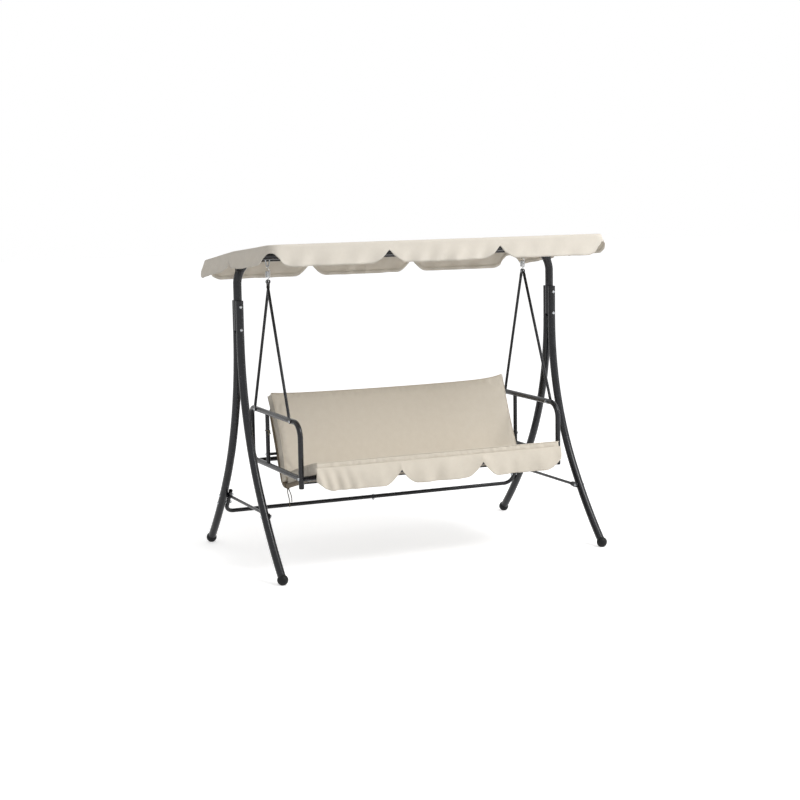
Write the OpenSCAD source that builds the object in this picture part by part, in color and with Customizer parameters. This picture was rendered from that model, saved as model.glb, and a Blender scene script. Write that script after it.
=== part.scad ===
// Three-seat garden swing with a tilting cloth canopy.
// Two curved-leg stands carry a bent tube beam. The seat hangs from the beam on two
// A-shaped hangers with extension springs, and holds a back cushion and a seat cushion.
// Millimetres. The front faces -Y, the beam runs along X, the feet stand on z = 0.

/* [Stand] */
// Distance between the left and right foot centres
stand_width = 1668; // [1560:1:1760]
// Distance between the front and rear foot centres
stand_depth = 1036; // [1000:1:1080]
// Height of the cut tops of the legs
leg_top_z = 1255; // [1230:1:1280]
// Height at which the legs start to curve outwards
leg_bend_z = 1090; // [1070:1:1100]
// Bend radius of the upper leg curve
leg_bend_r = 1310; // [1250:5:1360]
// Angle turned by the upper leg curve
leg_bend_angle = 33; // [31:0.5:35]
// Outer diameter of the leg tubes
leg_d = 38; // [34:0.5:42]
// Wall of the leg tubes
leg_wall = 1.5; // [1:0.1:2.5]
// Distance from the post's axis to a leg's axis at the top
leg_offset = 24; // [22:0.5:28]
// Diameter of the ball feet
foot_d = 51; // [47:0.5:58]
// Depth of the flat cut under a ball foot
foot_flat = 2; // [1:0.5:4]
// Height of the upper stand bolt
bolt_high_z = 1226; // [1200:1:1238]
// Height of the lower stand bolt
bolt_low_z = 1118; // [1110:1:1160]

/* [Braces] */
// Height of the middle of the cross bar's bolted ends
tie_z = 254; // [230:1:290]
// Distance between the two bolts of a cross bar end
tie_bolt_gap = 54; // [44:1:64]
// Length of the cross bar end above its middle
tie_up = 56; // [48:1:70]
// Length from the middle of the end down to the bend's corner
tie_down = 94; // [86:1:110]
// Diameter of the rear cross bar
tie_d = 20; // [18:0.5:24]
// Wall of the rear cross bar
tie_wall = 1.2; // [0.8:0.1:2]
// Bend radius of the rear cross bar
tie_bend_r = 40; // [32:1:60]
// Diameter of the side braces
brace_d = 14; // [12:0.5:18]
// Wall of the side braces
brace_wall = 1.2; // [0.8:0.1:2]
// Thickness of the pressed flat ends of the braces
brace_flat = 3; // [2:0.5:4]
// Width of the pressed flat ends of the braces
brace_flat_w = 26; // [22:1:32]

/* [Beam] */
// Height of the beam's centre line
beam_z = 1460; // [1440:1:1500]
// Outer diameter of the post and the beam
beam_d = 40; // [38:0.5:42]
// Wall of the post and the beam
beam_wall = 1.5; // [1:0.1:2.5]
// Bend radius of the post's elbow
elbow_r = 130; // [115:1:140]
// Length of the post's level end, from the elbow to the joint with the beam.
joint_in = 144; // [100:1:220]
// Length of the beam's reduced ends inside the elbows
spigot_l = 60; // [40:1:80]
// Height of the canopy pivot above the beam's centre line
pivot_up = 0; // [-4:0.5:6]
// Thickness of the canopy ears on the elbows
ear_t = 3; // [2:0.5:5]
// Width of the canopy ears
ear_w = 24; // [20:1:30]

/* [Springs and hangers] */
// Distance of the hooks from the start of the beam's elbows
hook_inset = 23; // [20:1:50]
// Drop from the beam's centre line to the hook's bottom wire
hook_drop = 52; // [46:1:70]
// Wire diameter of the hooks
hook_wire = 5; // [4:0.5:6]
// Bend radius at the bottom of the hooks
hook_r = 6; // [5:0.5:8]
// Half spread of the hooks at the beam
hook_spread = 9; // [8:0.5:14]
// Distance from the hook's bottom wire to the hanger pin
spring_l = 71; // [66:0.5:90]
// Wire diameter of the springs
spring_wire = 3.5; // [3:0.1:3.8]
// Mean radius of the spring coils
spring_r = 10.5; // [9:0.5:13]
// Radius of the spring's end loops
loop_r = 9; // [8:0.5:10]
// Rise of one spring coil
coil_pitch = 4.3; // [4.25:0.05:4.8]
// Diameter of the hanger pins
pin_d = 8; // [6:0.5:9]
// Drop from the hanger pin to the arm rail
hanger_drop = 634; // [600:1:660]
// Diameter of the hanger rods
rod_d = 14; // [12:0.5:16]
// Thickness of the pressed rod ends
rod_flat = 4; // [3:0.5:5]
// Width of the pressed rod ends
rod_flat_w = 20; // [18:1:24]
// Distance in front of the pin at which the front rod meets the arm
rod_front_y = 270; // [250:1:280]
// Distance behind the pin at which the rear rod meets the arm
rod_rear_y = 215; // [200:1:240]

/* [Seat frame] */
// Gap between the cushions' sides and the arm loops
arm_clear = 30.5; // [20:0.5:45]
// Diameter of the arm loop tube
arm_d = 25; // [22:0.5:28]
// Wall of the arm loop tube
arm_wall = 1.2; // [0.8:0.1:2]
// Distance of the front arm post in front of the pins
arm_front_y = 366; // [356:1:390]
// Distance of the rear arm post behind the pins
arm_rear_y = 300; // [285:1:330]
// Height from the lower rail to the arm rest
arm_h = 256; // [235:1:280]
// Length of the front post below the lower rail
arm_tail = 42; // [32:1:60]
// Bend radius at the front of the arm rest
arm_front_r = 70; // [55:1:80]
// Bend radius at the rear of the arm rest
arm_rear_r = 30; // [26:1:45]
// Bend radius at the rear of the lower rail
arm_low_r = 50; // [35:1:60]
// Distance of the arm uprights behind the pins
upright_y = 78; // [60:1:110]
// Diameter of the arm uprights
upright_d = 20; // [18:0.5:22]
// Diameter of the front and rear seat rails
rail_d = 22; // [20:0.5:24]
// Distance of the rear rail behind the pins
rear_rail_y = 236; // [215:1:245]
// Distance of the seat's side tubes inside the cushions' sides
side_inset = 10; // [6:1:30]
// Diameter of the seat's side tubes
side_d = 20; // [18:0.5:22]
// Depth of the seat's lowest corner below the lower rail
dip = 102; // [90:1:115]
// Distance of the seat's lowest corner behind the pins
dip_y = 8; // [0:1:20]
// Lean of the back from the upright
back_lean = 24.4; // [20:0.2:28]
// Length of the back from the lowest corner to its top tube
back_l = 425; // [400:1:450]
// Bend radius between the seat and the back
side_bend_r = 50; // [40:1:60]
// Bend radius at the upper corners of the back
back_corner_r = 60; // [45:1:80]
// Thickness of the cloth sling
sling_t = 2; // [1:0.5:3]

/* [Cushions] */
// Width of both cushions
cushion_w = 1264; // [1180:1:1280]
// Thickness of the back cushion
back_pad_t = 66; // [50:1:75]
// Length of the back cushion up the back
back_pad_l = 428; // [400:1:450]
// Thickness of the seat cushion
seat_pad_t = 58; // [48:1:66]
// Overhang of the seat cushion in front of the front rail
seat_pad_over = 100; // [80:1:115]
// Height of the crown on the cushions
crown = 9; // [4:0.5:14]
// Draw-in of the cushion sides between the corners
draw_in = 6; // [2:0.5:10]
// Length of the scalloped flap below its seam
flap_l = 110; // [90:1:120]
// Distance of the flap's seam below the seat cushion's top
flap_seam = 35; // [28:1:37]
// Thickness of the flap
flap_t = 3; // [2:0.5:4]
// Height of the notches between the scallops
flap_notch = 40; // [25:1:60]

/* [Canopy] */
// How far the canopy's side bar stands outside the post, axis to axis.
bar_out = 13; // [10:1:26]
// Length of a side bar past its corners, up to the front and rear bars
bar_lap = 45; // [42:1:70]
// Diameter of the canopy bars
bar_d = 16; // [14:0.5:18]
// Wall of the canopy bars
bar_wall = 1; // [0.8:0.1:1.5]
// Distance of the canopy's front bar in front of the pivot
canopy_front = 506; // [470:1:540]
// Distance of the canopy's rear bar behind the pivot
canopy_rear = 456; // [430:1:490]
// Rise of the canopy's front half
front_slope = 5.2; // [3:0.1:7]
// Fall of the canopy's rear half
rear_slope = 7.6; // [5:0.1:9]
// Height of the canopy's side bars above their pivots
bar_up = 16; // [15:0.5:20]
// Bend radius of the canopy's corners
corner_r = 42; // [34:1:55]
// Thickness of the canopy cloth
cloth_t = 2; // [1.5:0.5:3]
// Drop of the valance
valance_h = 98; // [80:1:110]
// Drop of the valance at the slits between its panels
slit_h = 38; // [28:1:50]
// Radius of the rounded lower corners of the valance panels
panel_r = 85; // [60:1:100]
// Sag of the roof between its bars
roof_sag = 9; // [2:0.5:14]

/* [Fasteners] */
// Diameter of the bolts
bolt_d = 8; // [6:0.5:9]
// Diameter of the bolt heads
head_d = 14; // [13:0.5:17]
// Height of the domed bolt heads
head_h = 4; // [3:0.5:6]
// Height of the nuts
nut_h = 6; // [4:0.5:8]
// Clearance between fitted pieces
fit = 0.3; // [0.2:0.05:0.5]
// Clearance of the bolts in their holes
hole_fit = 0.3; // [0.2:0.05:0.5]

/* [Hidden] */
$fn = 72;
// Steps of a full turn on tube bends, and sides of pressed and swept shapes
bend_fn = 180;
press_fn = 32;
// Swell of a tube at its bends, and how far the straights run into them
bend_swell = 0.05;
// Swell of the leg tube at its two long bends
leg_swell = 0.3;
bend_lap = 0.5;
// Bulge of a round rod where its pressed end starts
press_bulge = 1;
left = -1;
right = 1;
front = -1;
rear = 1;
steel = "#35363b";
zinc = "#b9bcc0";
plastic = "#1b1b1d";
cloth = "#d9d0c0";
pad = "#c9bba6";

// Derived heights, from the beam down to the seat
hook_z = beam_z - hook_drop;
pin_z = hook_z - spring_l;
arm_z = pin_z - hanger_drop;
low_z = arm_z - arm_h;
pivot_z = beam_z + pivot_up;
bar_mid_z = pivot_z + bar_up;
stand_x = stand_width / 2;
hang_x = stand_x - elbow_r - hook_inset;
beam_joint_x = stand_x - elbow_r - joint_in;
bar_x = stand_x + bar_out;
arm_x = cushion_w / 2 + arm_clear + arm_d / 2;
side_x = cushion_w / 2 - side_inset;
bolt_r = bolt_d / 2;
hole_r = bolt_r + hole_fit;

// Vector helpers
function unit(v) = v / norm(v);
function turn(a, b) = acos(max(-1, min(1, a * b)));
function mix(a, b, t) = a + (b - a) * t;

// Round rod from a to b
module between(a, b, r) {
  d = b - a;
  translate(a)
    rotate([0, acos(d[2] / norm(d)), atan2(d[1], d[0])])
      cylinder(h = norm(d), r = r);
}

// Bend of a round rod at corner p, from direction d0 to direction d1
module bend(p, d0, d1, bend_r, r) {
  a = turn(d0, d1);
  inward = unit(d1 - d0 * (d0 * d1));
  c = p - d0 * bend_r * tan(a / 2) + inward * bend_r;
  e = -inward;
  f = cross(e, d0);
  multmatrix([[e[0], d0[0], f[0], c[0]], [e[1], d0[1], f[1], c[1]], [e[2], d0[2], f[2], c[2]]])
    rotate_extrude(angle = a, $fn = bend_fn)
      translate([bend_r, 0])
        circle(r);
}
// Solid rod through corner points with one bend radius for each inner corner.
// The bends swell a little, and the straights run into them; over draws out both ends.
module rod(pts, bends, r, over = 0, swell = bend_swell) {
  n = len(pts);
  d = [for (i = [0:n - 2]) unit(pts[i + 1] - pts[i])];
  cut = [
    for (i = [0:n - 1])
      i == 0 || i == n - 1 ? -over : bends[i - 1] * tan(turn(d[i - 1], d[i]) / 2) - bend_lap
  ];
  for (i = [0:n - 2]) {
    l = norm(pts[i + 1] - pts[i]) - cut[i] - cut[i + 1];
    if (l > bend_lap + 0.01) between(pts[i] + d[i] * cut[i], pts[i + 1] - d[i] * cut[i + 1], r);
  }
  for (i = [1:1:n - 2])
    bend(pts[i], d[i - 1], d[i], bends[i - 1], r + swell);
}
// Bent tube with open ends
module tube(pts, bends, d, wall) {
  difference() {
    rod(pts, bends, d / 2);
    rod(pts, bends, d / 2 - wall, 1);
  }
}

// Bolt from a, under its domed head, to b, where its nut starts
module bolt(a, b) {
  d = unit(b - a);
  between(a - d * 0.01, b + d * (nut_h + 2), bolt_r);
  translate(a)
    rotate([0, acos(d[2]), atan2(d[1], d[0])])
      mirror([0, 0, 1])
        rotate_extrude()
          polygon([[0, 0], [head_d / 2, 0], [head_d * 0.47, head_h * 0.4],
                   [head_d * 0.3, head_h * 0.85], [0, head_h]]);
  translate(b)
    rotate([0, acos(d[2]), atan2(d[1], d[0])])
      cylinder(h = nut_h, d = head_d, $fn = 6);
}

// Straight hole through everything along a line
module hole(a, b, r = hole_r) {
  between(a - unit(b - a) * 5, b + unit(b - a) * 5, r);
}

// Tube swept along points as one closed skin of triangles
function path_dir(p, i) =
  unit(p[min(i + 1, len(p) - 1)] - p[max(i - 1, 0)]);
function side_of(d) = unit(cross(d, abs(d[0]) > 0.9 ? [0, 1, 0] : [1, 0, 0]));
function square_to(v, d) = unit(v - d * (v * d));
function path_sides(p) = [
  for (i = 0, v = side_of(path_dir(p, 0)); i < len(p);
       i = i + 1, v = i < len(p) ? square_to(v, path_dir(p, i)) : v) v
];
module swept(p, r, sides) {
  v = path_sides(p);
  n = len(p);
  ring = [
    for (i = [0:n - 1]) let (d = path_dir(p, i), w = cross(d, v[i]))
      for (k = [0:sides - 1]) p[i] + r * (cos(360 * k / sides) * v[i] + sin(360 * k / sides) * w)
  ];
  skin = [
    for (i = [0:n - 2], k = [0:sides - 1])
      let (a = i * sides + k, b = i * sides + (k + 1) % sides)
        each [[a, a + sides, b], [b, a + sides, b + sides]]
  ];
  ends = [
    for (k = [1:sides - 2])
      each [[0, k, k + 1], [(n - 1) * sides, (n - 1) * sides + k + 1, (n - 1) * sides + k]]
  ];
  polyhedron(points = ring, faces = concat(skin, ends));
}
// Least gap between parts of a swept tube that are over `skip` points apart along it
function self_gap(p, r, skip) =
  min([for (i = [0:len(p) - 1], j = [i + skip:1:len(p) - 1]) norm(p[i] - p[j])]) - 2 * r;

// Closed skin over a grid of outer points and a grid of inner points, rows by columns
module quilt(outer, inner) {
  rows = len(outer);
  cols = len(outer[0]);
  m = rows * cols;
  rim = concat(
    [for (j = [0:cols - 1]) j],
    [for (i = [1:rows - 1]) i * cols + cols - 1],
    [for (j = [cols - 2:-1:0]) (rows - 1) * cols + j],
    [for (i = [rows - 2:-1:1]) i * cols]
  );
  faces_out = [
    for (i = [0:rows - 2], j = [0:cols - 2])
      let (a = i * cols + j, b = a + 1, c = a + cols, d = c + 1)
        each [[a, b, c], [b, d, c]]
  ];
  faces_in = [for (f = faces_out) [f[0] + m, f[2] + m, f[1] + m]];
  edge = [
    for (k = [0:len(rim) - 1])
      let (a = rim[k], b = rim[(k + 1) % len(rim)])
        each [[a, a + m, b], [b, a + m, b + m]]
  ];
  polyhedron(
    points = concat([for (row = outer) each row], [for (row = inner) each row]),
    faces = concat(faces_out, faces_in, edge)
  );
}

// Leg centre line in the YZ plane, y growing outwards: a straight top, then two arcs
foot_z = foot_d / 2 - foot_flat;
knee = [0, leg_offset, leg_bend_z - leg_bend_r * tan(leg_bend_angle / 2)];
knee_dir = [0, sin(leg_bend_angle), -cos(leg_bend_angle)];
knee_end = knee + knee_dir * (leg_bend_r * tan(leg_bend_angle / 2) + 4);
foot_at = [0, stand_depth / 2, foot_z];
shin = foot_at - knee_end;
shin_turn = 2 * (atan2(shin[1], -shin[2]) - leg_bend_angle);
shin_r = norm(shin) / (2 * sin(shin_turn / 2));
leg_path = [
  [0, leg_offset, leg_top_z], knee, knee_end + knee_dir * shin_r * tan(shin_turn / 2), foot_at
];
leg_bends = [leg_bend_r, shin_r];
// Direction and place of the leg at height z on its lower arc
function leg_angle(z) = asin(sin(leg_bend_angle) + (knee_end[2] - z) / shin_r);
function leg_y(z) = knee_end[1] + shin_r * (cos(leg_bend_angle) - cos(leg_angle(z)));
// Foot of the post, which the pressed leg tops hug
post_foot_z = leg_bend_z + 24;

module leg_solid(r, end) {
  rod(leg_path, leg_bends, r - leg_swell, end, leg_swell);
}
// Round hollow of radius r pressed into the leg tops, running out in a ball
module post_hollow(r) {
  translate([0, 0, post_foot_z]) cylinder(h = leg_top_z - post_foot_z + 10, r = r);
  translate([0, 0, post_foot_z]) sphere(r);
}

// Curved leg tube with its top pressed into a hollow shell around the post
module leg(side, way) {
  y_bolt = leg_offset + leg_d;
  color(steel)
    translate([side * stand_x, 0, 0])
      mirror([0, way == front ? 1 : 0, 0])
        difference() {
          leg_solid(leg_d / 2, 0);
          post_hollow(beam_d / 2 + fit);
          difference() {
            leg_solid(leg_d / 2 - leg_wall, 1);
            post_hollow(beam_d / 2 + fit + leg_wall);
          }
          for (z = [bolt_low_z, bolt_high_z]) hole([0, 0, z], [0, y_bolt, z]);
          for (p = tie_bolts()) hole([-leg_d, p[1], p[2]], [leg_d, p[1], p[2]]);
        }
}

// Moulded ball foot with a socket for the leg's end and a flat underneath
module foot(side, way) {
  color(plastic)
    translate([side * stand_x, 0, 0])
      mirror([0, way == front ? 1 : 0, 0])
        difference() {
          translate(foot_at) sphere(d = foot_d);
          leg_solid(leg_d / 2 + fit, fit);
          translate([-foot_d, foot_at[1] - foot_d, -foot_d]) cube([2 * foot_d, 2 * foot_d, foot_d]);
        }
}

// The two bolts at a rear cross bar end: upper, shared with the brace, and lower
tie_mid = [0, leg_y(tie_z), tie_z];
tie_dir = [0, sin(leg_angle(tie_z)), -cos(leg_angle(tie_z))];
function tie_bolts() = [tie_mid - tie_dir * tie_bolt_gap / 2, tie_mid + tie_dir * tie_bolt_gap / 2];
brace_at = tie_bolts()[0];
// Layers inside the leg, measured from the leg's axis: brace end, then cross bar end
brace_in = leg_d / 2 + fit + brace_flat / 2;
tie_in = leg_d / 2 + 2 * fit + brace_flat + tie_d / 2;
tie_bolt_in = tie_in + tie_d / 2 + fit;
brace_bolt_in = leg_d / 2 + 2 * fit + brace_flat;

// Side brace: a thin tube with flat pressed ends that are bolted inside the legs
module brace(side) {
  clear = leg_d / 2 / cos(leg_angle(brace_at[2])) + brace_d;
  y_tube = brace_at[1] - clear - 12;
  y_flat = brace_at[1] - clear + 4;
  x = side * (stand_x - brace_in);
  color(steel)
    translate([x, 0, brace_at[2]])
      difference() {
        union() {
          tube([[0, 2 - y_tube, 0], [0, y_tube - 2, 0]], [], brace_d, brace_wall);
          for (way = [front, rear]) {
            hull() {
              translate([0, way * y_tube, 0])
                rotate([way * 90, 0, 0]) cylinder(h = 4, d = brace_d + press_bulge, $fn = press_fn);
              translate([-brace_flat / 2, way * y_flat - 0.5, -brace_flat_w / 2])
                cube([brace_flat, 1, brace_flat_w]);
            }
            translate([-brace_flat / 2, min(way * y_flat, way * brace_at[1]), -brace_flat_w / 2])
              cube([brace_flat, brace_at[1] - y_flat, brace_flat_w]);
            translate([-brace_flat / 2, way * brace_at[1], 0])
              rotate([0, 90, 0]) cylinder(h = brace_flat, d = brace_flat_w);
          }
        }
        for (way = [front, rear])
          hole([-leg_d, way * brace_at[1], 0], [leg_d, way * brace_at[1], 0]);
      }
}

// Rear cross bar, in two halves that plug together at the middle
tie_corner = tie_mid + tie_dir * tie_down;
tie_joint_x = -25;
tie_plug_l = 50;
module crossbar_half(side) {
  x_end = side * (stand_x - tie_in);
  top = tie_mid - tie_dir * tie_up;
  plug = side == left;
  x_stop = tie_joint_x + side * fit / 2;
  path = [[x_end, top[1], top[2]], [x_end, tie_corner[1], tie_corner[2]],
          [x_stop, tie_corner[1], tie_corner[2]]];
  plug_d = tie_d - 2 * tie_wall - 2 * fit;
  stop = [x_stop, tie_corner[1], tie_corner[2]];
  color(steel)
    difference() {
      union() {
        tube(path, [tie_bend_r], tie_d, tie_wall);
        if (plug) {
          tube([stop - [tie_plug_l, 0, 0], stop + [tie_plug_l, 0, 0]], [], plug_d, tie_wall);
          translate(stop - [8, 0, 0])
            rotate([0, 90, 0])
              difference() {
                cylinder(h = 8, d = tie_d - tie_wall);
                translate([0, 0, -1]) cylinder(h = 10, d = plug_d - tie_wall);
              }
        }
      }
      for (p = tie_bolts()) hole([x_end - tie_d, p[1], p[2]], [x_end + tie_d, p[1], p[2]]);
      hole([0, tie_corner[1], tie_corner[2] - tie_d], [0, tie_corner[1], tie_corner[2] + tie_d]);
    }
}

// Post, elbow and outer end of the beam as one bent tube, with the canopy's ear on its elbow
ear_x = bar_x - bar_d / 2 - fit - ear_t;
module post(side) {
  path = [[side * stand_x, 0, post_foot_z], [side * stand_x, 0, beam_z],
          [side * (beam_joint_x + fit / 2), 0, beam_z]];
  ear_foot = beam_z - elbow_r + elbow_r / 3;
  bolt_x = side * (beam_joint_x + spigot_l / 2);
  color(steel)
    difference() {
      union() {
        rod(path, [elbow_r], beam_d / 2);
        translate([side > 0 ? ear_x : -ear_x - ear_t, 0, 0])
          rotate([90, 0, 90])
            linear_extrude(ear_t) {
              translate([0, pivot_z]) circle(d = ear_w);
              translate([-ear_w / 2, ear_foot]) square([ear_w, pivot_z - ear_foot]);
            }
      }
      rod(path, [elbow_r], beam_d / 2 - beam_wall, 1);
      for (z = [bolt_low_z, bolt_high_z])
        hole([side * stand_x, -beam_d, z], [side * stand_x, beam_d, z]);
      hole([bolt_x, -beam_d, beam_z], [bolt_x, beam_d, beam_z]);
      hole([side * ear_x - ear_t, 0, pivot_z], [side * ear_x + 2 * ear_t, 0, pivot_z]);
    }
}

// Middle tube of the beam with reduced ends that slide into the elbows
module beam() {
  plug_d = beam_d - 2 * beam_wall - 2 * fit;
  x_plug = beam_joint_x + spigot_l;
  color(steel)
    difference() {
      union() {
        between([-beam_joint_x + fit / 2, 0, beam_z], [beam_joint_x - fit / 2, 0, beam_z], beam_d / 2);
        between([-x_plug, 0, beam_z], [x_plug, 0, beam_z], plug_d / 2);
      }
      between([-x_plug - 1, 0, beam_z], [x_plug + 1, 0, beam_z], plug_d / 2 - beam_wall);
      for (side = [left, right])
        hole([side * (beam_joint_x + spigot_l / 2), -beam_d, beam_z],
             [side * (beam_joint_x + spigot_l / 2), beam_d, beam_z]);
    }
}

// V-shaped wire hook welded under the beam, whose bottom is the swing's axis
module hook(side) {
  half = atan2(hook_spread, hook_drop);
  tip = hook_r / sin(half) - hook_r;
  rise = hook_drop + tip;
  spread = rise * tan(half);
  x = side * hang_x;
  color(steel)
    difference() {
      rod([[x - spread, 0, beam_z], [x, 0, hook_z - tip], [x + spread, 0, beam_z]],
          [hook_r], hook_wire / 2);
      between([x - hang_x, 0, beam_z], [x + hang_x, 0, beam_z], beam_d / 2 + fit / 2);
    }
}

// Bolt groups of the stand
module post_bolts() {
  y = leg_offset + leg_d / 2 + fit / 2;
  color(zinc)
    for (side = [left, right], z = [bolt_low_z, bolt_high_z])
      bolt([side * stand_x, -y, z], [side * stand_x, y, z]);
}
module brace_bolts() {
  x_out = stand_x + leg_d / 2 + fit / 2;
  color(zinc)
    for (side = [left, right])
      bolt([side * x_out, -brace_at[1], brace_at[2]],
           [side * (stand_x - brace_bolt_in), -brace_at[1], brace_at[2]]);
}
module crossbar_bolts() {
  x_out = stand_x + leg_d / 2 + fit / 2;
  color(zinc) {
    for (side = [left, right], p = tie_bolts())
      bolt([side * x_out, p[1], p[2]], [side * (stand_x - tie_bolt_in), p[1], p[2]]);
    // Spacer at the lower bolt, as thick as the brace end at the upper one
    for (side = [left, right]) {
      p = tie_bolts()[1];
      x = side * (stand_x - leg_d / 2 - fit / 2);
      between([x, p[1], p[2]], [x - side * (brace_flat + fit), p[1], p[2]], head_d / 2);
    }
    bolt([0, tie_corner[1], tie_corner[2] + tie_d / 2 + fit / 2],
         [0, tie_corner[1], tie_corner[2] - tie_d / 2 - fit / 2]);
  }
}
module beam_bolts() {
  y = beam_d / 2 + fit / 2;
  color(zinc)
    for (side = [left, right]) {
      x = side * (beam_joint_x + spigot_l / 2);
      bolt([x, -y, beam_z], [x, y, beam_z]);
    }
}

// Extension spring: an end loop on the hook, close coils, and an end loop on the pin
top_loop_z = hook_z + hook_wire / 2 + fit + spring_wire / 2 - loop_r;
low_loop_z = pin_z - pin_d / 2 - fit - spring_wire / 2 + loop_r;
spring_mid_z = (top_loop_z + low_loop_z) / 2;
coil_lead = 7;
coil_top_z = top_loop_z - loop_r - spring_wire - 1.5;
half_turns = floor((coil_top_z - spring_mid_z) / coil_pitch * 2 - 0.5) / 2 + 0.25;
function upper_spring() = concat(
  [for (a = [-60:30:150]) [0, loop_r * cos(a), top_loop_z + loop_r * sin(a)]],
  [[0, -loop_r, top_loop_z], [0, -mix(loop_r, spring_r, 0.6), coil_top_z + coil_lead + 1]],
  [
    for (k = [1:half_turns * 8])
      let (a = 45 * k, lead = max(0, 1 - k / 3))
        [spring_r * sin(a), -spring_r * cos(a),
         spring_mid_z + (half_turns - k / 8) * coil_pitch + coil_lead * lead * lead]
  ]
);
function spring_path() = let (u = upper_spring(), n = len(u)) concat(
  u, [for (i = [n - 2:-1:0]) [u[i][0], -u[i][1], 2 * spring_mid_z - u[i][2]]]
);
module spring(side) {
  gap = self_gap(spring_path(), spring_wire / 2, 6);
  echo(str("spring least gap ", gap, " mm"));
  color(zinc)
    translate([side * hang_x, 0, 0]) swept(spring_path(), spring_wire / 2, 6);
}

// Hanger rod with pressed flat ends; the front and rear rod sit either side of the spring loop
rod_gap = spring_wire / 2 + 1.2;
arm_face = arm_x + arm_d / 2 + fit;
module hanger(side, way) {
  top = [side * (hang_x - way * (rod_gap + rod_flat / 2)), 0, pin_z];
  foot = [side * (arm_face + rod_flat / 2), way == front ? -rod_front_y : rod_rear_y, arm_z];
  l = norm(foot - top);
  lean = atan2(foot[1] - top[1], top[2] - foot[2]);
  slant = asin((foot[0] - top[0]) / l);
  press = rod_d + 2;
  taper = rod_d;
  color(steel)
    difference() {
      union() {
        between(mix(top, foot, (press + taper - 2) / l), mix(top, foot, 1 - (press + taper - 2) / l),
                rod_d / 2);
        for (end = [0, 1]) {
          at = end == 0 ? top : foot;
          flip = end == 0 ? 0 : 180;
          translate(at)
            rotate([lean + flip, 0, 0]) {
              translate([-rod_flat / 2, 0, 0])
                rotate([0, 90, 0]) cylinder(h = rod_flat, d = rod_flat_w);
              translate([-rod_flat / 2, -rod_flat_w / 2, -press])
                cube([rod_flat, rod_flat_w, press]);
              hull() {
                translate([-rod_flat / 2, -rod_flat_w / 2, -press]) cube([rod_flat, rod_flat_w, 1]);
                translate([(end == 0 ? 1 : -1) * sin(slant) * (press + taper), 0, -press - taper])
                  cylinder(h = 4, d = rod_d + press_bulge, $fn = press_fn);
              }
            }
        }
      }
      hole([top[0] - rod_flat, 0, pin_z], [top[0] + rod_flat, 0, pin_z], pin_d / 2 + hole_fit);
      hole([foot[0] - rod_flat, foot[1], arm_z], [foot[0] + rod_flat, foot[1], arm_z]);
    }
}

// Hanger pins through the spring loops, and the bolts of the hangers on the arms
module hanger_bolts() {
  x_pin = rod_gap + rod_flat + fit / 2;
  x_out = arm_face + rod_flat + fit / 2;
  x_in = arm_x - arm_d / 2 - fit / 2;
  color(zinc)
    for (side = [left, right]) {
      between([side * hang_x - x_pin - 5, 0, pin_z], [side * hang_x + x_pin + 5, 0, pin_z], pin_d / 2);
      for (end = [left, right])
        between([side * hang_x + end * x_pin, 0, pin_z],
                [side * hang_x + end * (x_pin + 4), 0, pin_z], pin_d * 0.8);
      for (y = [-rod_front_y, rod_rear_y]) bolt([side * x_out, y, arm_z], [side * x_in, y, arm_z]);
    }
}

// Arm loop: front post, arm rest, rear post and lower rail bent from one tube
module arm(side) {
  x = side * arm_x;
  path = [[x, -arm_front_y, low_z - arm_tail], [x, -arm_front_y, arm_z], [x, arm_rear_y, arm_z],
          [x, arm_rear_y, low_z], [x, -arm_front_y, low_z]];
  bore = [path[0], path[1], path[2], path[3], path[4] + [0, arm_d / 2, 0]];
  bends = [arm_front_r, arm_rear_r, arm_low_r];
  color(steel)
    difference() {
      rod(path, bends, arm_d / 2);
      rod(bore, bends, arm_d / 2 - arm_wall, 0.5);
      for (y = [-rod_front_y, rod_rear_y]) hole([x - arm_d, y, arm_z], [x + arm_d, y, arm_z]);
      hole([x - arm_d, -arm_front_y, low_z], [x + arm_d, -arm_front_y, low_z]);
    }
}

// Upright between the arm rest and the lower rail
back_dir = [0, sin(back_lean), cos(back_lean)];
corner = [0, dip_y, low_z - dip];
spacer_z = corner[2] + (upright_y - dip_y) / tan(back_lean);
module upright(side) {
  x = side * arm_x;
  color(steel)
    difference() {
      tube([[x, upright_y, low_z], [x, upright_y, arm_z]], [], upright_d, arm_wall);
      for (z = [low_z, arm_z])
        between([x, upright_y - arm_d, z], [x, upright_y + arm_d, z], arm_d / 2 + fit / 2);
      hole([x - arm_d, upright_y, spacer_z], [x + arm_d, upright_y, spacer_z]);
    }
}

// Plugs in the open ends of the front posts
module arm_caps() {
  color(plastic)
    for (side = [left, right])
      translate([side * arm_x, -arm_front_y, low_z - arm_tail]) {
        translate([0, 0, -4]) cylinder(h = 4 - fit / 2, d1 = arm_d - 3, d2 = arm_d);
        translate([0, 0, -fit]) cylinder(h = 16, r = arm_d / 2 - arm_wall - fit);
      }
}

// Straight seat rail between the arm loops
module seat_rail(y, wall) {
  color(steel)
    difference() {
      tube([[-arm_x, y, low_z], [arm_x, y, low_z]], [], rail_d, wall);
      for (side = [left, right])
        between([side * arm_x, y, low_z - arm_d], [side * arm_x, y, low_z + arm_d], arm_d / 2 + fit / 2);
      for (side = [left, right])
        between([side * arm_x, y - arm_d, low_z], [side * arm_x, y + arm_d, low_z], arm_d / 2 + fit / 2);
    }
}
rail_plug_l = 30;
module front_rail() {
  seat_rail(-arm_front_y, arm_wall);
}
module rear_rail() {
  seat_rail(rear_rail_y, arm_wall);
}

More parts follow.
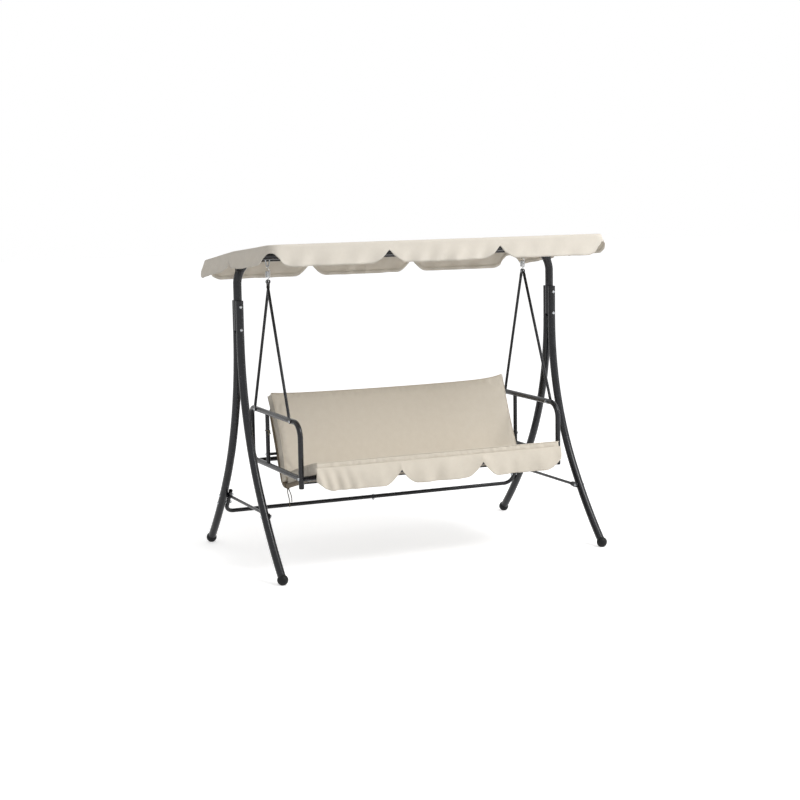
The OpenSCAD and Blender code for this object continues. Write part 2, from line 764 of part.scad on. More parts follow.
// Half of the seat frame: seat side, back side and half of the top tube, bent from one tube
rail_at = [0, -arm_front_y, low_z];
seat_dir = unit(rail_at - corner);
seat_up = [0, -seat_dir[2], seat_dir[1]] * -1;
back_fore = [0, -back_dir[2], back_dir[1]];
back_top = corner + back_dir * back_l;
top_plug_l = 40;
module seat_frame(side) {
  x = [side * side_x, 0, 0];
  stop = [side * fit / 2, back_top[1], back_top[2]];
  path = [rail_at + x, corner + x, back_top + x, stop];
  plug_d = side_d - 2 * arm_wall - 2 * fit;
  color(steel)
    difference() {
      union() {
        tube(path, [side_bend_r, back_corner_r], side_d, arm_wall);
        if (side == left) {
          tube([stop - [top_plug_l, 0, 0], stop + [top_plug_l, 0, 0]], [], plug_d, arm_wall);
          translate(stop - [8, 0, 0])
            rotate([0, 90, 0])
              difference() {
                cylinder(h = 8, d = side_d - arm_wall);
                translate([0, 0, -1]) cylinder(h = 10, d = plug_d - arm_wall);
              }
        }
      }
      between([-arm_x, rail_at[1], rail_at[2]], [arm_x, rail_at[1], rail_at[2]], rail_d / 2 + fit / 2);
      hole([side * side_x - side_d, upright_y, spacer_z], [side * side_x + side_d, upright_y, spacer_z]);
    }
}

// Cross tube at the lowest corner of the seat, between the bends of the side tubes
side_turn = turn(-seat_dir, back_dir);
corner_in = unit(seat_dir + back_dir);
bend_low = corner + corner_in * side_bend_r * (1 / cos(side_turn / 2) - 1);
module seat_rear_bar() {
  ends = side_x - side_d / 2 - fit;
  color(steel)
    tube([[-ends, bend_low[1], bend_low[2]], [ends, bend_low[1], bend_low[2]]], [], side_d, arm_wall);
}

// Spacers between the uprights and the back, and the bolts through them
module back_spacers() {
  a = side_x + side_d / 2 + fit / 2;
  b = arm_x - upright_d / 2 - fit / 2;
  color(plastic)
    for (side = [left, right])
      difference() {
        between([side * a, upright_y, spacer_z], [side * b, upright_y, spacer_z], head_d / 2);
        hole([side * a, upright_y, spacer_z], [side * b, upright_y, spacer_z]);
      }
}
module frame_bolts() {
  x_front = arm_x + arm_d / 2 + fit / 2;
  x_back = arm_x + upright_d / 2 + fit / 2;
  x_nut = side_x - side_d / 2 - fit / 2;
  color(zinc)
    for (side = [left, right]) {
      bolt([side * x_back, upright_y, spacer_z], [side * x_nut, upright_y, spacer_z]);
      // Screw into the end of the front rail
      between([side * x_front, -arm_front_y, low_z],
              [side * (arm_x - arm_d / 2 - rail_plug_l), -arm_front_y, low_z], bolt_r);
      between([side * x_front, -arm_front_y, low_z],
              [side * (x_front + head_h), -arm_front_y, low_z], head_d / 2);
    }
}

// Cloth sling on the seat frame: seat, round the inside of the bend, and up the back
sling_off = side_d / 2 + fit;
sling_w = 2 * (side_x + side_d / 2);
module sling_strip(a, along, up, l) {
  mid = a + up * sling_off;
  multmatrix([[1, 0, 0, 0], [0, along[1], up[1], mid[1]], [0, along[2], up[2], mid[2]]])
    translate([-sling_w / 2, 0, 0]) cube([sling_w, l, sling_t]);
}
module sling() {
  reach = side_bend_r * tan(side_turn / 2);
  seat_l = norm(rail_at - corner) - reach - rail_d / 2 - sling_t - fit;
  c = corner + corner_in * side_bend_r / cos(side_turn / 2);
  e1 = -seat_up;
  e2 = -seat_dir;
  color(pad) {
    sling_strip(corner + seat_dir * (reach - bend_lap), seat_dir, seat_up, seat_l + bend_lap);
    sling_strip(corner + back_dir * (reach - bend_lap), back_dir, back_fore,
                back_l - reach - side_d / 2 + bend_lap);
    multmatrix([[0, 0, 1, -sling_w / 2 + 0.5], [e1[1], e2[1], 0, c[1]], [e1[2], e2[2], 0, c[2]]])
      rotate_extrude(angle = side_turn, $fn = bend_fn)
        translate([side_bend_r - sling_off - sling_t - 0.25, 0]) square([sling_t, sling_w - 1]);
  }
}

// Cushion in a flat frame: x across, u along, n up, with crowned faces and drawn-in sides
pad_cols = 20;
pad_rows = 9;
function edge_full(t) = 1 - pow(abs(2 * t - 1), 6);
function pad_point(w, l, t, i, j, way) =
  let (
    s = j / pad_cols,
    v = i / pad_rows,
    puff = pow(edge_full(s) * edge_full(v), 0.35),
    pull_x = draw_in * (1 - pow(2 * v - 1, 2)),
    pull_u = draw_in * (1 - pow(2 * s - 1, 2)),
    x = (2 * s - 1) * (w / 2 - pull_x),
    u = mix(pull_u, l - pull_u, v),
    fall = way > 0 ? crown * (0.3 * pow(2 * s - 1, 2) + 0.7 * pow(2 * v - 1, 2)) : 0,
    n = way * (t * 0.16 + (t * 0.34 - fall) * puff)
  ) [x, u, n];
module cushion(w, l, t) {
  upper = [for (i = [0:pad_rows]) [for (j = [0:pad_cols]) pad_point(w, l, t, i, j, 1)]];
  lower = [for (i = [0:pad_rows]) [for (j = [0:pad_cols]) pad_point(w, l, t, i, j, -1)]];
  quilt(upper, lower);
}

// Back cushion, lying on the sling up the back
pad_lift = sling_off + sling_t + fit;
back_pad_from = 22;
module back_cushion() {
  o = corner + back_dir * back_pad_from + back_fore * (pad_lift + back_pad_t / 2);
  color(pad)
    multmatrix([[1, 0, 0, 0], [0, back_dir[1], back_fore[1], o[1]], [0, back_dir[2], back_fore[2], o[2]]])
      cushion(cushion_w, back_pad_l, back_pad_t);
}

// Seat cushion, from the back cushion's face to its overhang in front of the front rail
rail_rise = rail_d / 2 + fit + 1;
seat_l = norm(rail_at - corner);
seat_pad_from = back_pad_t + pad_lift + 8;
seat_tilt = atan2(rail_rise - pad_lift, seat_l - seat_pad_from);
pad_dir = unit(seat_dir * cos(seat_tilt) + seat_up * sin(seat_tilt));
pad_up = [0, pad_dir[2], -pad_dir[1]];
seat_pad_l = seat_l - seat_pad_from + seat_pad_over;
seat_pad_at = corner + seat_dir * seat_pad_from + seat_up * pad_lift;
module seat_cushion() {
  o = seat_pad_at + pad_up * seat_pad_t / 2;
  color(pad)
    multmatrix([[1, 0, 0, 0], [0, pad_dir[1], pad_up[1], o[1]], [0, pad_dir[2], pad_up[2], o[2]]])
      cushion(cushion_w, seat_pad_l, seat_pad_t);
}

// Drop of a scalloped edge at distance s, with rounded panels between slits
function nearest(s, slits) = min([for (q = slits) abs(s - q)]);
function scallop(s, slits, notch, full, r) =
  let (k = min(1, nearest(s, slits) / r)) notch + (full - notch) * (1 - pow(1 - k, 2.2));

// Scalloped flap sewn along the front of the seat cushion
flap_cols = 48;
flap_rows = 3;
flap_panels = 3;
module seat_flap() {
  w = cushion_w + 12;
  nose = seat_pad_at + pad_dir * (seat_pad_l + 2 * fit) + pad_up * (seat_pad_t - flap_seam);
  slits = [for (k = [0:flap_panels]) -w / 2 + k * w / flap_panels];
  at = function (i, j, back)
    let (
      x = -w / 2 + w * j / flap_cols,
      v = i / flap_rows,
      d = scallop(x, slits, flap_notch, flap_l, panel_r),
      pull = draw_in * max(0, 1 - pow(2 * x / cushion_w, 2)) * (1 - v),
      wave = 4 * v * (1 - cos(360 * 6 * x / w)) / 2
    ) [x, nose[1] - flap_t + back - pull * pad_dir[1] - 5 * sin(180 * v) - wave,
       nose[2] - pull * pad_dir[2] - d * v];
  face = [for (i = [0:flap_rows]) [for (j = [0:flap_cols]) at(i, j, 0)]];
  lining = [for (i = [0:flap_rows]) [for (j = [0:flap_cols]) at(i, j, flap_t)]];
  color(cloth) quilt(face, lining);
}

// Tie of the cushion: a loop round the left side tube, up to the sling, and two loose tails below it
tie_cord_d = 3;
loop_at = corner + seat_dir * (side_bend_r * tan(side_turn / 2) + 8);
loop_ring = side_d / 2 + fit + tie_cord_d / 2;
knot = loop_at - seat_up * (loop_ring + tie_cord_d / 2 + fit / 2);
tail_long = [[-3, 0, 0], [-4, -1, -6], [-6, -6, -13], [-7, -13, -21], [-7, -20, -31], [-6, -25, -43],
             [-5, -28, -56], [-5, -29, -70], [-5, -29, -84]];
tail_short = [[3, 0, 0], [4, -1, -6], [5, -5, -12], [6, -11, -19], [7, -17, -28], [8, -22, -39],
              [8, -24, -51], [8, -24, -62]];
module tie_loop() {
  color(cloth)
    translate(loop_at - [side_x, 0, 0])
      rotate([90 - atan2(seat_dir[2], -seat_dir[1]), 0, 0])
        rotate([0, 0, 140])
          rotate_extrude(angle = 260) translate([loop_ring, 0]) circle(d = tie_cord_d);
}
module tie_tail(points) {
  color(cloth)
    swept([for (q = points) q + knot - [side_x, 0, 0]], tie_cord_d / 2, 8);
}

// Canopy frame: each side bar turns in at both ends and holds the front and rear bars
front_bar_z = bar_mid_z + canopy_front * tan(front_slope);
rear_bar_z = bar_mid_z - canopy_rear * tan(rear_slope);
tab_t = 4;
tab_x = bar_x - bar_d / 2;
bar_joint_x = bar_x - corner_r - bar_lap;
bar_plug_l = 40;
module canopy_bar(side) {
  x = side * bar_x;
  j = side * (bar_joint_x + fit / 2);
  path = [[j, -canopy_front, front_bar_z], [x, -canopy_front, front_bar_z], [x, 0, bar_mid_z],
          [x, canopy_rear, rear_bar_z], [j, canopy_rear, rear_bar_z]];
  bends = [corner_r, 200, corner_r];
  color(steel)
    difference() {
      union() {
        rod(path, bends, bar_d / 2);
        // Tab with the pivot hole, welded under the bar
        translate([side > 0 ? tab_x : -tab_x - tab_t, 0, 0])
          rotate([90, 0, 90])
            linear_extrude(tab_t) {
              translate([0, pivot_z]) circle(d = ear_w);
              translate([-ear_w / 2, pivot_z]) square([ear_w, bar_up - bar_d / 4]);
            }
      }
      rod(path, bends, bar_d / 2 - bar_wall, 1);
      hole([side * tab_x - tab_t, 0, pivot_z], [side * tab_x + tab_t, 0, pivot_z]);
    }
}
// Straight bar with reduced ends inside the side bars
module canopy_cross(y, z) {
  plug_d = bar_d - 2 * bar_wall - 2 * fit;
  a = bar_joint_x - fit / 2;
  color(steel)
    difference() {
      union() {
        between([-a, y, z], [a, y, z], bar_d / 2);
        between([-a - bar_plug_l, y, z], [a + bar_plug_l, y, z], plug_d / 2);
      }
      between([-a - bar_plug_l - 1, y, z], [a + bar_plug_l + 1, y, z], plug_d / 2 - bar_wall);
    }
}

// Pivot bolts of the canopy, through the side bars and the ears into the knobs
knob_t = 14;
knob_d = 30;
knob_x = ear_x - fit;
module canopy_bolts() {
  color(zinc)
    for (side = [left, right]) {
      x_out = side * (tab_x + tab_t + fit / 2);
      between([x_out, 0, pivot_z], [side * (knob_x - knob_t + 3), 0, pivot_z], bolt_r);
      between([x_out, 0, pivot_z], [x_out + side * 3, 0, pivot_z], bolt_d * 0.8);
    }
}
// Lobed clamping knob on the inner side of the ear
knob_lobes = 5;
module tilt_knob(side) {
  color(plastic)
    translate([side * knob_x, 0, pivot_z])
      rotate([0, -side * 90, 0])
        difference() {
          union() {
            cylinder(h = 5, d = knob_d * 0.55);
            translate([0, 0, 3]) {
              cylinder(h = knob_t - 3, d = knob_d * 0.7);
              for (k = [0:knob_lobes - 1])
                rotate([0, 0, 360 * k / knob_lobes])
                  translate([knob_d / 2 - 5, 0, 0]) cylinder(h = knob_t - 3, r = 5);
            }
          }
          translate([0, 0, -1]) cylinder(h = knob_t - 2 + 1 + hole_fit, r = hole_r);
        }
}

// Canopy cloth: roof height over the bars at depth y, and the outline of its edge
roof_lift = bar_d / 2 + fit;
edge_x = bar_x + bar_d / 2 + 2 * fit + 2;
edge_front = -(canopy_front + bar_d / 2 + 2 * fit);
edge_rear = canopy_rear + bar_d / 2 + 2 * fit;
edge_r = corner_r + bar_d / 2;
function roof_z(y) = bar_mid_z + roof_lift / cos(front_slope) - y * tan(y < 0 ? front_slope : rear_slope);
run_front = 2 * (edge_x - edge_r);
run_side = edge_rear - edge_front - 2 * edge_r;
arc_l = PI * edge_r / 2;
// Point and outward normal on the edge, s along it from the left end of the front edge
function edge_arc(cx, cy, a) = [cx + edge_r * cos(a), cy + edge_r * sin(a), cos(a), sin(a)];
function edge_at(s) =
  let (ix = edge_x - edge_r, y0 = edge_front + edge_r, y1 = edge_rear - edge_r,
       a = run_front + arc_l, b = a + run_side, c = b + arc_l, d = c + run_front, e = d + arc_l,
       f = e + run_side)
    s < 0 ? edge_arc(-ix, y0, -90 + 90 * s / arc_l)
    : s < run_front ? [-ix + s, edge_front, 0, -1]
    : s < a ? edge_arc(ix, y0, -90 + 90 * (s - run_front) / arc_l)
    : s < b ? [edge_x, y0 + s - a, 1, 0]
    : s < c ? edge_arc(ix, y1, 90 * (s - b) / arc_l)
    : s < d ? [ix - (s - c), edge_rear, 0, 1]
    : s < e ? edge_arc(-ix, y1, 90 + 90 * (s - d) / arc_l)
    : [-edge_x, y1 - (s - e), -1, 0];

// Roof: one sheet over the bars that sags a little between them
edge_steps = [0, 3, 10, 22, edge_r];
flat_front = edge_front + edge_steps[3];
flat_rear = edge_rear - edge_steps[3];
flat_x = bar_x - bar_d / 2 - 9;
roof_ys = concat(
  [for (e = edge_steps) edge_front + e],
  [for (k = [1:3]) mix(edge_front + edge_r, 0, k / 3)],
  [for (k = [1:2]) mix(0, edge_rear - edge_r, k / 3)],
  [for (i = [4:-1:0]) edge_rear - edge_steps[i]]
);
roof_xs = concat([-1], [for (j = [0:14]) (j / 7 - 1) * flat_x / edge_x], [1]);
function roof_half(y) =
  let (d = max(0, max(edge_front + edge_r - y, y - edge_rear + edge_r)))
    edge_x - edge_r + sqrt(max(0, edge_r * edge_r - d * d));
function roof_point(y, s, lift) =
  let (
    x = s * roof_half(y),
    bay = min(1, y < 0 ? y / flat_front : y / flat_rear),
    dip = roof_sag * (1 - pow(min(1, abs(x) / flat_x), 4)) * 4 * bay * (1 - bay)
  ) [x, y, roof_z(y) - dip + lift];
module canopy_roof() {
  color(cloth)
    quilt(
      [for (y = roof_ys) [for (s = roof_xs) roof_point(y, s, cloth_t)]],
      [for (y = roof_ys) [for (s = roof_xs) roof_point(y, s, 0)]]
    );
}

// Valance: scalloped cloth panels hanging from the roof's edge along a run of s
front_mid = run_front / 2;
side_mid = run_front + arc_l + run_side / 2;
rear_mid = run_front + 2 * arc_l + run_side + run_front / 2;
left_mid = rear_mid + run_front / 2 + arc_l + run_side / 2;
third = (run_front + arc_l) / 6;
half_loop = rear_mid - front_mid;
slits = [
  front_mid - 3 * third, front_mid - third, front_mid + third, front_mid + 3 * third, side_mid,
  rear_mid - 3 * third, rear_mid - third, rear_mid + third, rear_mid + 3 * third, left_mid,
  front_mid - 3 * third + 2 * half_loop
];
valance_rows = 3;
// Places along a run, closer together on the rounded corners
function long_run(mid) = concat(
  [for (k = [0:7]) mid - run_front / 2 - arc_l + arc_l * k / 8],
  [for (k = [0:40]) mid - run_front / 2 + run_front * k / 40],
  [for (k = [1:8]) mid + run_front / 2 + arc_l * k / 8]
);
function side_run(mid) = [for (k = [0:28]) mid - run_side / 2 + run_side * k / 28];
module valance(run) {
  at = function (i, j, deep)
    let (
      s = run[j],
      e = edge_at(s),
      v = i / valance_rows,
      d = scallop(s, slits, slit_h, valance_h, panel_r),
      way = min(abs(s - front_mid), 2 * half_loop - abs(s - front_mid)),
      out = cloth_t - deep + 2 * v + 3 * v * cos(540 * way / third)
    ) [e[0] + e[2] * out, e[1] + e[3] * out, roof_z(e[1]) - fit - d * v];
  cols = len(run) - 1;
  face = [for (i = [0:valance_rows]) [for (j = [0:cols]) at(i, j, 0)]];
  lining = [for (i = [0:valance_rows]) [for (j = [0:cols]) at(i, j, cloth_t)]];
  color(cloth) quilt(face, lining);
}

leg(left, front);  // leg_front_left
leg(left, rear);  // leg_rear_left
leg(right, front);  // leg_front_right
leg(right, rear);  // leg_rear_right
foot(left, front);  // foot_front_left
foot(left, rear);  // foot_rear_left
foot(right, front);  // foot_front_right
foot(right, rear);  // foot_rear_right
brace(left);  // brace_left
brace(right);  // brace_right
crossbar_half(left);  // crossbar_left
crossbar_half(right);  // crossbar_right
post(left);  // post_left
post(right);  // post_right
beam();
hook(left);  // hook_left
hook(right);  // hook_right
post_bolts();
brace_bolts();
crossbar_bolts();
beam_bolts();
spring(left);  // spring_left
spring(right);  // spring_right
hanger(left, front);  // hanger_front_left
hanger(left, rear);  // hanger_rear_left
hanger(right, front);  // hanger_front_right
hanger(right, rear);  // hanger_rear_right
hanger_bolts();
arm(left);  // arm_left
arm(right);  // arm_right
upright(left);  // upright_left
upright(right);  // upright_right
arm_caps();
front_rail();
rear_rail();
seat_frame(left);  // seat_frame_left
seat_frame(right);  // seat_frame_right
seat_rear_bar();
back_spacers();
frame_bolts();
sling();
back_cushion();
seat_cushion();
seat_flap();
tie_loop();
tie_tail(tail_long);  // tie_tail_long
tie_tail(tail_short);  // tie_tail_short
canopy_bar(left);  // canopy_bar_left
canopy_bar(right);  // canopy_bar_right
canopy_cross(-canopy_front, front_bar_z);  // canopy_front_bar
canopy_cross(canopy_rear, rear_bar_z);  // canopy_rear_bar
canopy_bolts();
tilt_knob(left);  // tilt_knob_left
tilt_knob(right);  // tilt_knob_right
canopy_roof();
valance(long_run(front_mid));  // valance_front
valance(long_run(rear_mid));  // valance_rear
valance(side_run(left_mid));  // valance_left
valance(side_run(side_mid));  // valance_right
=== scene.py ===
import math

import bmesh
import bpy
from mathutils import Matrix, Vector, noise


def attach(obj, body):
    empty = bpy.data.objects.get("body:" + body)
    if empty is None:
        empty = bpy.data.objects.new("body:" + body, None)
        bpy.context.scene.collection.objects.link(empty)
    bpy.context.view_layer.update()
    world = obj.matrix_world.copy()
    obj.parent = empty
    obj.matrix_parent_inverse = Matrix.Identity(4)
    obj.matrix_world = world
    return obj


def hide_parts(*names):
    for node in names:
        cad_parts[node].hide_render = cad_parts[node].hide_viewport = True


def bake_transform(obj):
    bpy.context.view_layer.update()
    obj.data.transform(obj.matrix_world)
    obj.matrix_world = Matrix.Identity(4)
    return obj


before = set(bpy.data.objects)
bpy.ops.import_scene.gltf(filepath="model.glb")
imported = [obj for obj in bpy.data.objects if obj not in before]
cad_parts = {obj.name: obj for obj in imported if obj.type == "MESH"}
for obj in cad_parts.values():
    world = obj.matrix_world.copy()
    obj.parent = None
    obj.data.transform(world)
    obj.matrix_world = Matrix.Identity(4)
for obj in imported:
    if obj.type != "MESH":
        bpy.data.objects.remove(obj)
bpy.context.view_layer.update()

# Camera: a long lens about eight metres away, to the left of the bench and a little higher
# than its canopy, looking slightly down, at the photograph's viewing angle.
camera_at = (-3.403, -7.597, 1.845)
azimuth, elevation, roll = -24.08, 7.66, -0.94
camera = bpy.data.objects.new("camera", bpy.data.cameras.new("camera"))
camera.data.sensor_width = 36
camera.data.lens = 76.6
camera.matrix_world = (
    Matrix.Translation(camera_at)
    @ Matrix.Rotation(math.radians(azimuth), 4, "Z")
    @ Matrix.Rotation(math.radians(90 - elevation), 4, "X")
    @ Matrix.Rotation(math.radians(roll), 4, "Z")
)
bpy.context.scene.collection.objects.link(camera)
bpy.context.scene.camera = camera
bpy.context.scene.view_settings.view_transform = "Standard"


# Cushion tie at the rear left corner: a braided polyester cord, sewn to the cushion, looped
# round the seat's side tube and knotted below it. Two loose tails hang from the knot.
def linear(hex_code):
    """An sRGB hex colour as linear red, green, blue and alpha."""
    parts = [int(hex_code[i:i + 2], 16) / 255 for i in (1, 3, 5)]
    return [c / 12.92 if c <= 0.04045 else ((c + 0.055) / 1.055) ** 2.4 for c in parts] + [1]


def new_material(name):
    """A material with its first shader and output."""
    material = bpy.data.materials.new(name)
    material.use_nodes = True
    return material


def add_node(material, kind, settings=(), links=()):
    """Adds a node to a material, or takes the first shader or output by its name. Settings are
    inputs or properties, and links give the output that feeds an input. An input goes by its
    name, or by its number where several share one name."""
    nodes = material.node_tree.nodes
    node = nodes[kind] if kind in nodes else nodes.new(kind)
    for key, value in dict(settings).items():
        if isinstance(key, int) or key in node.inputs:
            node.inputs[key].default_value = value
        else:
            setattr(node, key, value)
    for key, socket in dict(links).items():
        material.node_tree.links.new(socket, node.inputs[key])
    return node


# Braided polyester cord: a 4.2 mm round braid in a dull olive brown, matt, with the diagonal
# strands drawn at 1.6 mm so that they show.
cord_d, strand = 0.0042, 0.0016
wave_repeat = 0.314  # metres between the bands of a wave texture of scale 1
tie_cord = new_material("braided_polyester_cord")
where = add_node(tie_cord, "ShaderNodeTexCoord").outputs["Object"]
braid = add_node(tie_cord, "ShaderNodeTexWave", {
    "bands_direction": "DIAGONAL", "Scale": wave_repeat / strand, "Distortion": 1.5,
    "Detail": 1, "Detail Scale": 2}, {"Vector": where}).outputs["Fac"]
tint = add_node(tie_cord, "ShaderNodeMix", {
    "data_type": "RGBA", 6: linear("#40392c"), 7: linear("#6f6549")}, {"Factor": braid})
raised = add_node(tie_cord, "ShaderNodeBump", {"Strength": 0.5, "Distance": 0.0006},
                  {"Height": braid})
add_node(tie_cord, "Principled BSDF", {"Roughness": 0.85, "Sheen Weight": 0.2},
         {"Base Color": tint.outputs[2], "Normal": raised.outputs["Normal"]})


def smooth_route(points, steps):
    """A route through the points on one smooth curve, with so many steps between each two."""
    ends = [2 * points[0] - points[1]] + points + [2 * points[-1] - points[-2]]
    route = []
    for a, b, c, d in zip(ends, ends[1:], ends[2:], ends[3:]):
        for k in range(steps):
            t = k / steps
            route.append(0.5 * (2 * b + (c - a) * t + (2 * a - 5 * b + 4 * c - d) * t ** 2
                                + (3 * b - a - 3 * c + d) * t ** 3))
    return route + [points[-1]]


def cord_curve(name, route, diameter, material, ring=False):
    """A round cord or wire along a route, as a curve with closed ends, or as a closed ring."""
    curve = bpy.data.curves.new(name, "CURVE")
    curve.dimensions = "3D"
    curve.bevel_depth = diameter / 2
    curve.bevel_resolution = 3
    curve.use_fill_caps = True
    spline = curve.splines.new("POLY")
    spline.points.add(len(route) - 1)
    for point, place in zip(spline.points, route):
        point.co = (*place, 1)
    spline.use_smooth = True
    spline.use_cyclic_u = ring
    curve.materials.append(material)
    cord = bpy.data.objects.new(name, curve)
    bpy.context.scene.collection.objects.link(cord)
    return cord


# The tails' points are millimetres from the knot.
tie_knot = Vector((-0.622, -0.0444, 0.3453))
tail_routes = {
    "tie_tail_long": [(-3, 0, 0), (-4, -1, -6), (-6, -6, -13), (-7, -13, -21), (-7, -20, -31),
                      (-6, -25, -43), (-5, -28, -56), (-5, -29, -70), (-5, -29, -84)],
    "tie_tail_short": [(3, 0, 0), (4, -1, -6), (5, -5, -12), (6, -11, -19), (7, -17, -28),
                       (8, -22, -39), (8, -24, -51), (8, -24, -62)],
}
for node, offsets in tail_routes.items():
    route = smooth_route([tie_knot + Vector(p) / 1000 for p in offsets], 3)
    tail = cord_curve(node + "_cord", route, cord_d, tie_cord)
    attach(tail, "seat")
    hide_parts(node)


def as_mesh(cord):
    """Makes a cord's curve a mesh of the same name."""
    name, mesh = cord.name, bpy.data.meshes.new_from_object(
        cord.evaluated_get(bpy.context.evaluated_depsgraph_get()))
    bpy.data.objects.remove(cord)
    piece = bpy.data.objects.new(name, mesh)
    bpy.context.scene.collection.objects.link(piece)
    piece.data.shade_smooth()
    return piece


# The loop runs round the side tube from one edge of the sling to the other, and the knot is
# an overhand knot drawn tight.
tube_at = Vector((-0.622, -0.0408, 0.3583))
seat_dir = Vector((0, -0.9648, 0.2631))
seat_up = Vector((0, 0.2631, 0.9648))
across = Vector((1, 0, 0))
loop_reach, loop_side_turn, loop_steps = 0.0124, 130, 40
loop_route = []
for k in range(loop_steps + 1):
    a = math.radians(-loop_side_turn + 2 * loop_side_turn * k / loop_steps)
    loop_route.append(tube_at + loop_reach * (across * math.sin(a) - seat_up * math.cos(a)))
tie_loop = as_mesh(cord_curve("tie_loop_cord", loop_route, cord_d, tie_cord))
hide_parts("tie_loop")
knot_r, knot_swell, knot_depth, knot_steps = 0.0026, 0.0012, 0.0016, 48
knot_route = []
for k in range(knot_steps + 1):
    a = math.radians(720 * k / knot_steps - 90)
    swing = knot_r + knot_swell * math.cos(1.5 * a)
    knot_route.append(tie_knot + Vector((swing * math.cos(a), knot_depth * math.sin(1.5 * a),
                                         swing * math.sin(a))))
tie_lump = as_mesh(cord_curve("tie_knot_cord", knot_route, cord_d, tie_cord))
for piece in (tie_loop, tie_lump):
    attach(piece, "seat")


# Small tie on the left upright: a short end of the same cord, wound once round the tube and
# knotted in front, with both ends cut short.
upright_at = Vector((-0.675, 0.078, 0.612))
wind_r, wind_rise = 0.0123, 0.0035


def before_winding(points):
    """Places in front of the winding, from millimetres sideways, forward and up."""
    return [upright_at + Vector((x / 1000, -wind_r - forward / 1000, z / 1000))
            for x, forward, z in points]


wound = before_winding([(4, 21, -10), (2, 9, -1)])
for a in map(math.radians, range(20, 365, 15)):
    wound.append(upright_at + Vector((wind_r * math.sin(a), -wind_r * math.cos(a),
                                      wind_rise * a / math.pi - 0.001)))
wound += before_winding([(1, 4, 1), (-3, 4, 4.5), (-2, 6, -3), (-6, 13, -8), (-8, 19, -16)])
upright_tie = as_mesh(cord_curve("upright_tie", smooth_route(wound, 3), cord_d, tie_cord))
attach(upright_tie, "seat")


# Stand: curved leg tubes, braces, cross bar, posts and beam, bent from steel tube, bolted
# together and powder coated in a dark anthracite grey with a soft gloss.
def mottled_finish(name, settings, tones, clouds, gloss=None, grain=None):
    """A finish whose colour drifts between two tones, each with its place on the ramp. Clouds
    are the noise's scale to the metre and its detail, gloss is the span of roughness over them,
    and grain is a finer noise's size in metres and detail, and its bump's strength and depth."""
    finish = new_material(name)
    where = add_node(finish, "ShaderNodeTexCoord").outputs["Object"]
    cloud = add_node(finish, "ShaderNodeTexNoise", {"Scale": clouds[0], "Detail": clouds[1]},
                     {"Vector": where}).outputs["Fac"]
    tint = add_node(finish, "ShaderNodeValToRGB", links={"Fac": cloud})
    for stop, (position, tone) in zip(tint.color_ramp.elements, tones):
        stop.position, stop.color = position, linear(tone)
    look = {"Base Color": tint.outputs["Color"]}
    if gloss:
        look["Roughness"] = add_node(finish, "ShaderNodeMapRange", {
            "To Min": gloss[0], "To Max": gloss[1]}, {"Value": cloud}).outputs["Result"]
    if grain:
        size, detail, strength, depth = grain
        fine = add_node(finish, "ShaderNodeTexNoise", {"Scale": 1 / size, "Detail": detail},
                        {"Vector": where}).outputs["Fac"]
        look["Normal"] = add_node(finish, "ShaderNodeBump", {
            "Strength": strength, "Distance": depth}, {"Height": fine}).outputs["Normal"]
    add_node(finish, "Principled BSDF", settings, look)
    return finish


def finish_nodes(material, *names):
    """Gives CAD nodes their finish."""
    for name in names:
        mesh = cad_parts[name].data
        mesh.materials.clear()
        mesh.materials.append(material)


# Powder coat: a baked polyester film in clouds of about 22 mm. It flows out smooth but for a
# faint orange peel of about 1.5 mm, drawn at 3 mm, so that highlights on it are soft and
# slightly uneven.
powder_coat = mottled_finish(
    "powder_coated_steel_anthracite", {"IOR": 1.5, "Specular IOR Level": 0.36},
    tones=((0.35, "#131417"), (0.68, "#1d1e23")), clouds=(45, 4), gloss=(0.22, 0.3),
    grain=(0.003, 1, 0.05, 0.0004))
finish_nodes(powder_coat, "leg_front_left", "leg_rear_left", "leg_front_right", "leg_rear_right",
             "brace_left", "brace_right", "crossbar_left", "crossbar_right", "post_left",
             "post_right", "beam")

# Ball feet, plugs of the arm posts and canopy knobs: injection moulded polypropylene in black,
# pushed on the tubes. The mould's fine spark grain, drawn at 1.2 mm, gives a matt surface.
black_plastic = mottled_finish(
    "moulded_polypropylene_black", {"Roughness": 0.5, "IOR": 1.49, "Specular IOR Level": 0.25},
    tones=((0, "#0b0c0d"), (1, "#151618")), clouds=(60, 3), grain=(0.0012, 2, 0.25, 0.0003))
finish_nodes(black_plastic, "foot_front_left", "foot_rear_left", "foot_front_right",
             "foot_rear_right", "arm_caps", "tilt_knob_left", "tilt_knob_right")

# Bolts, nuts, hanger pins and hooks: turned and bent steel, bright zinc plated. The plating is
# silvery, with cloudy patches of 4 to 5 mm that differ in gloss.
zinc_plate = mottled_finish(
    "zinc_plated_steel", {"Metallic": 1.0}, tones=((0.3, "#8f9296"), (0.7, "#c6c9cc")),
    clouds=(220, 5), gloss=(0.2, 0.42))
finish_nodes(zinc_plate, "post_bolts", "brace_bolts", "crossbar_bolts", "beam_bolts",
             "hanger_bolts", "frame_bolts", "canopy_bolts", "hook_left", "hook_right")

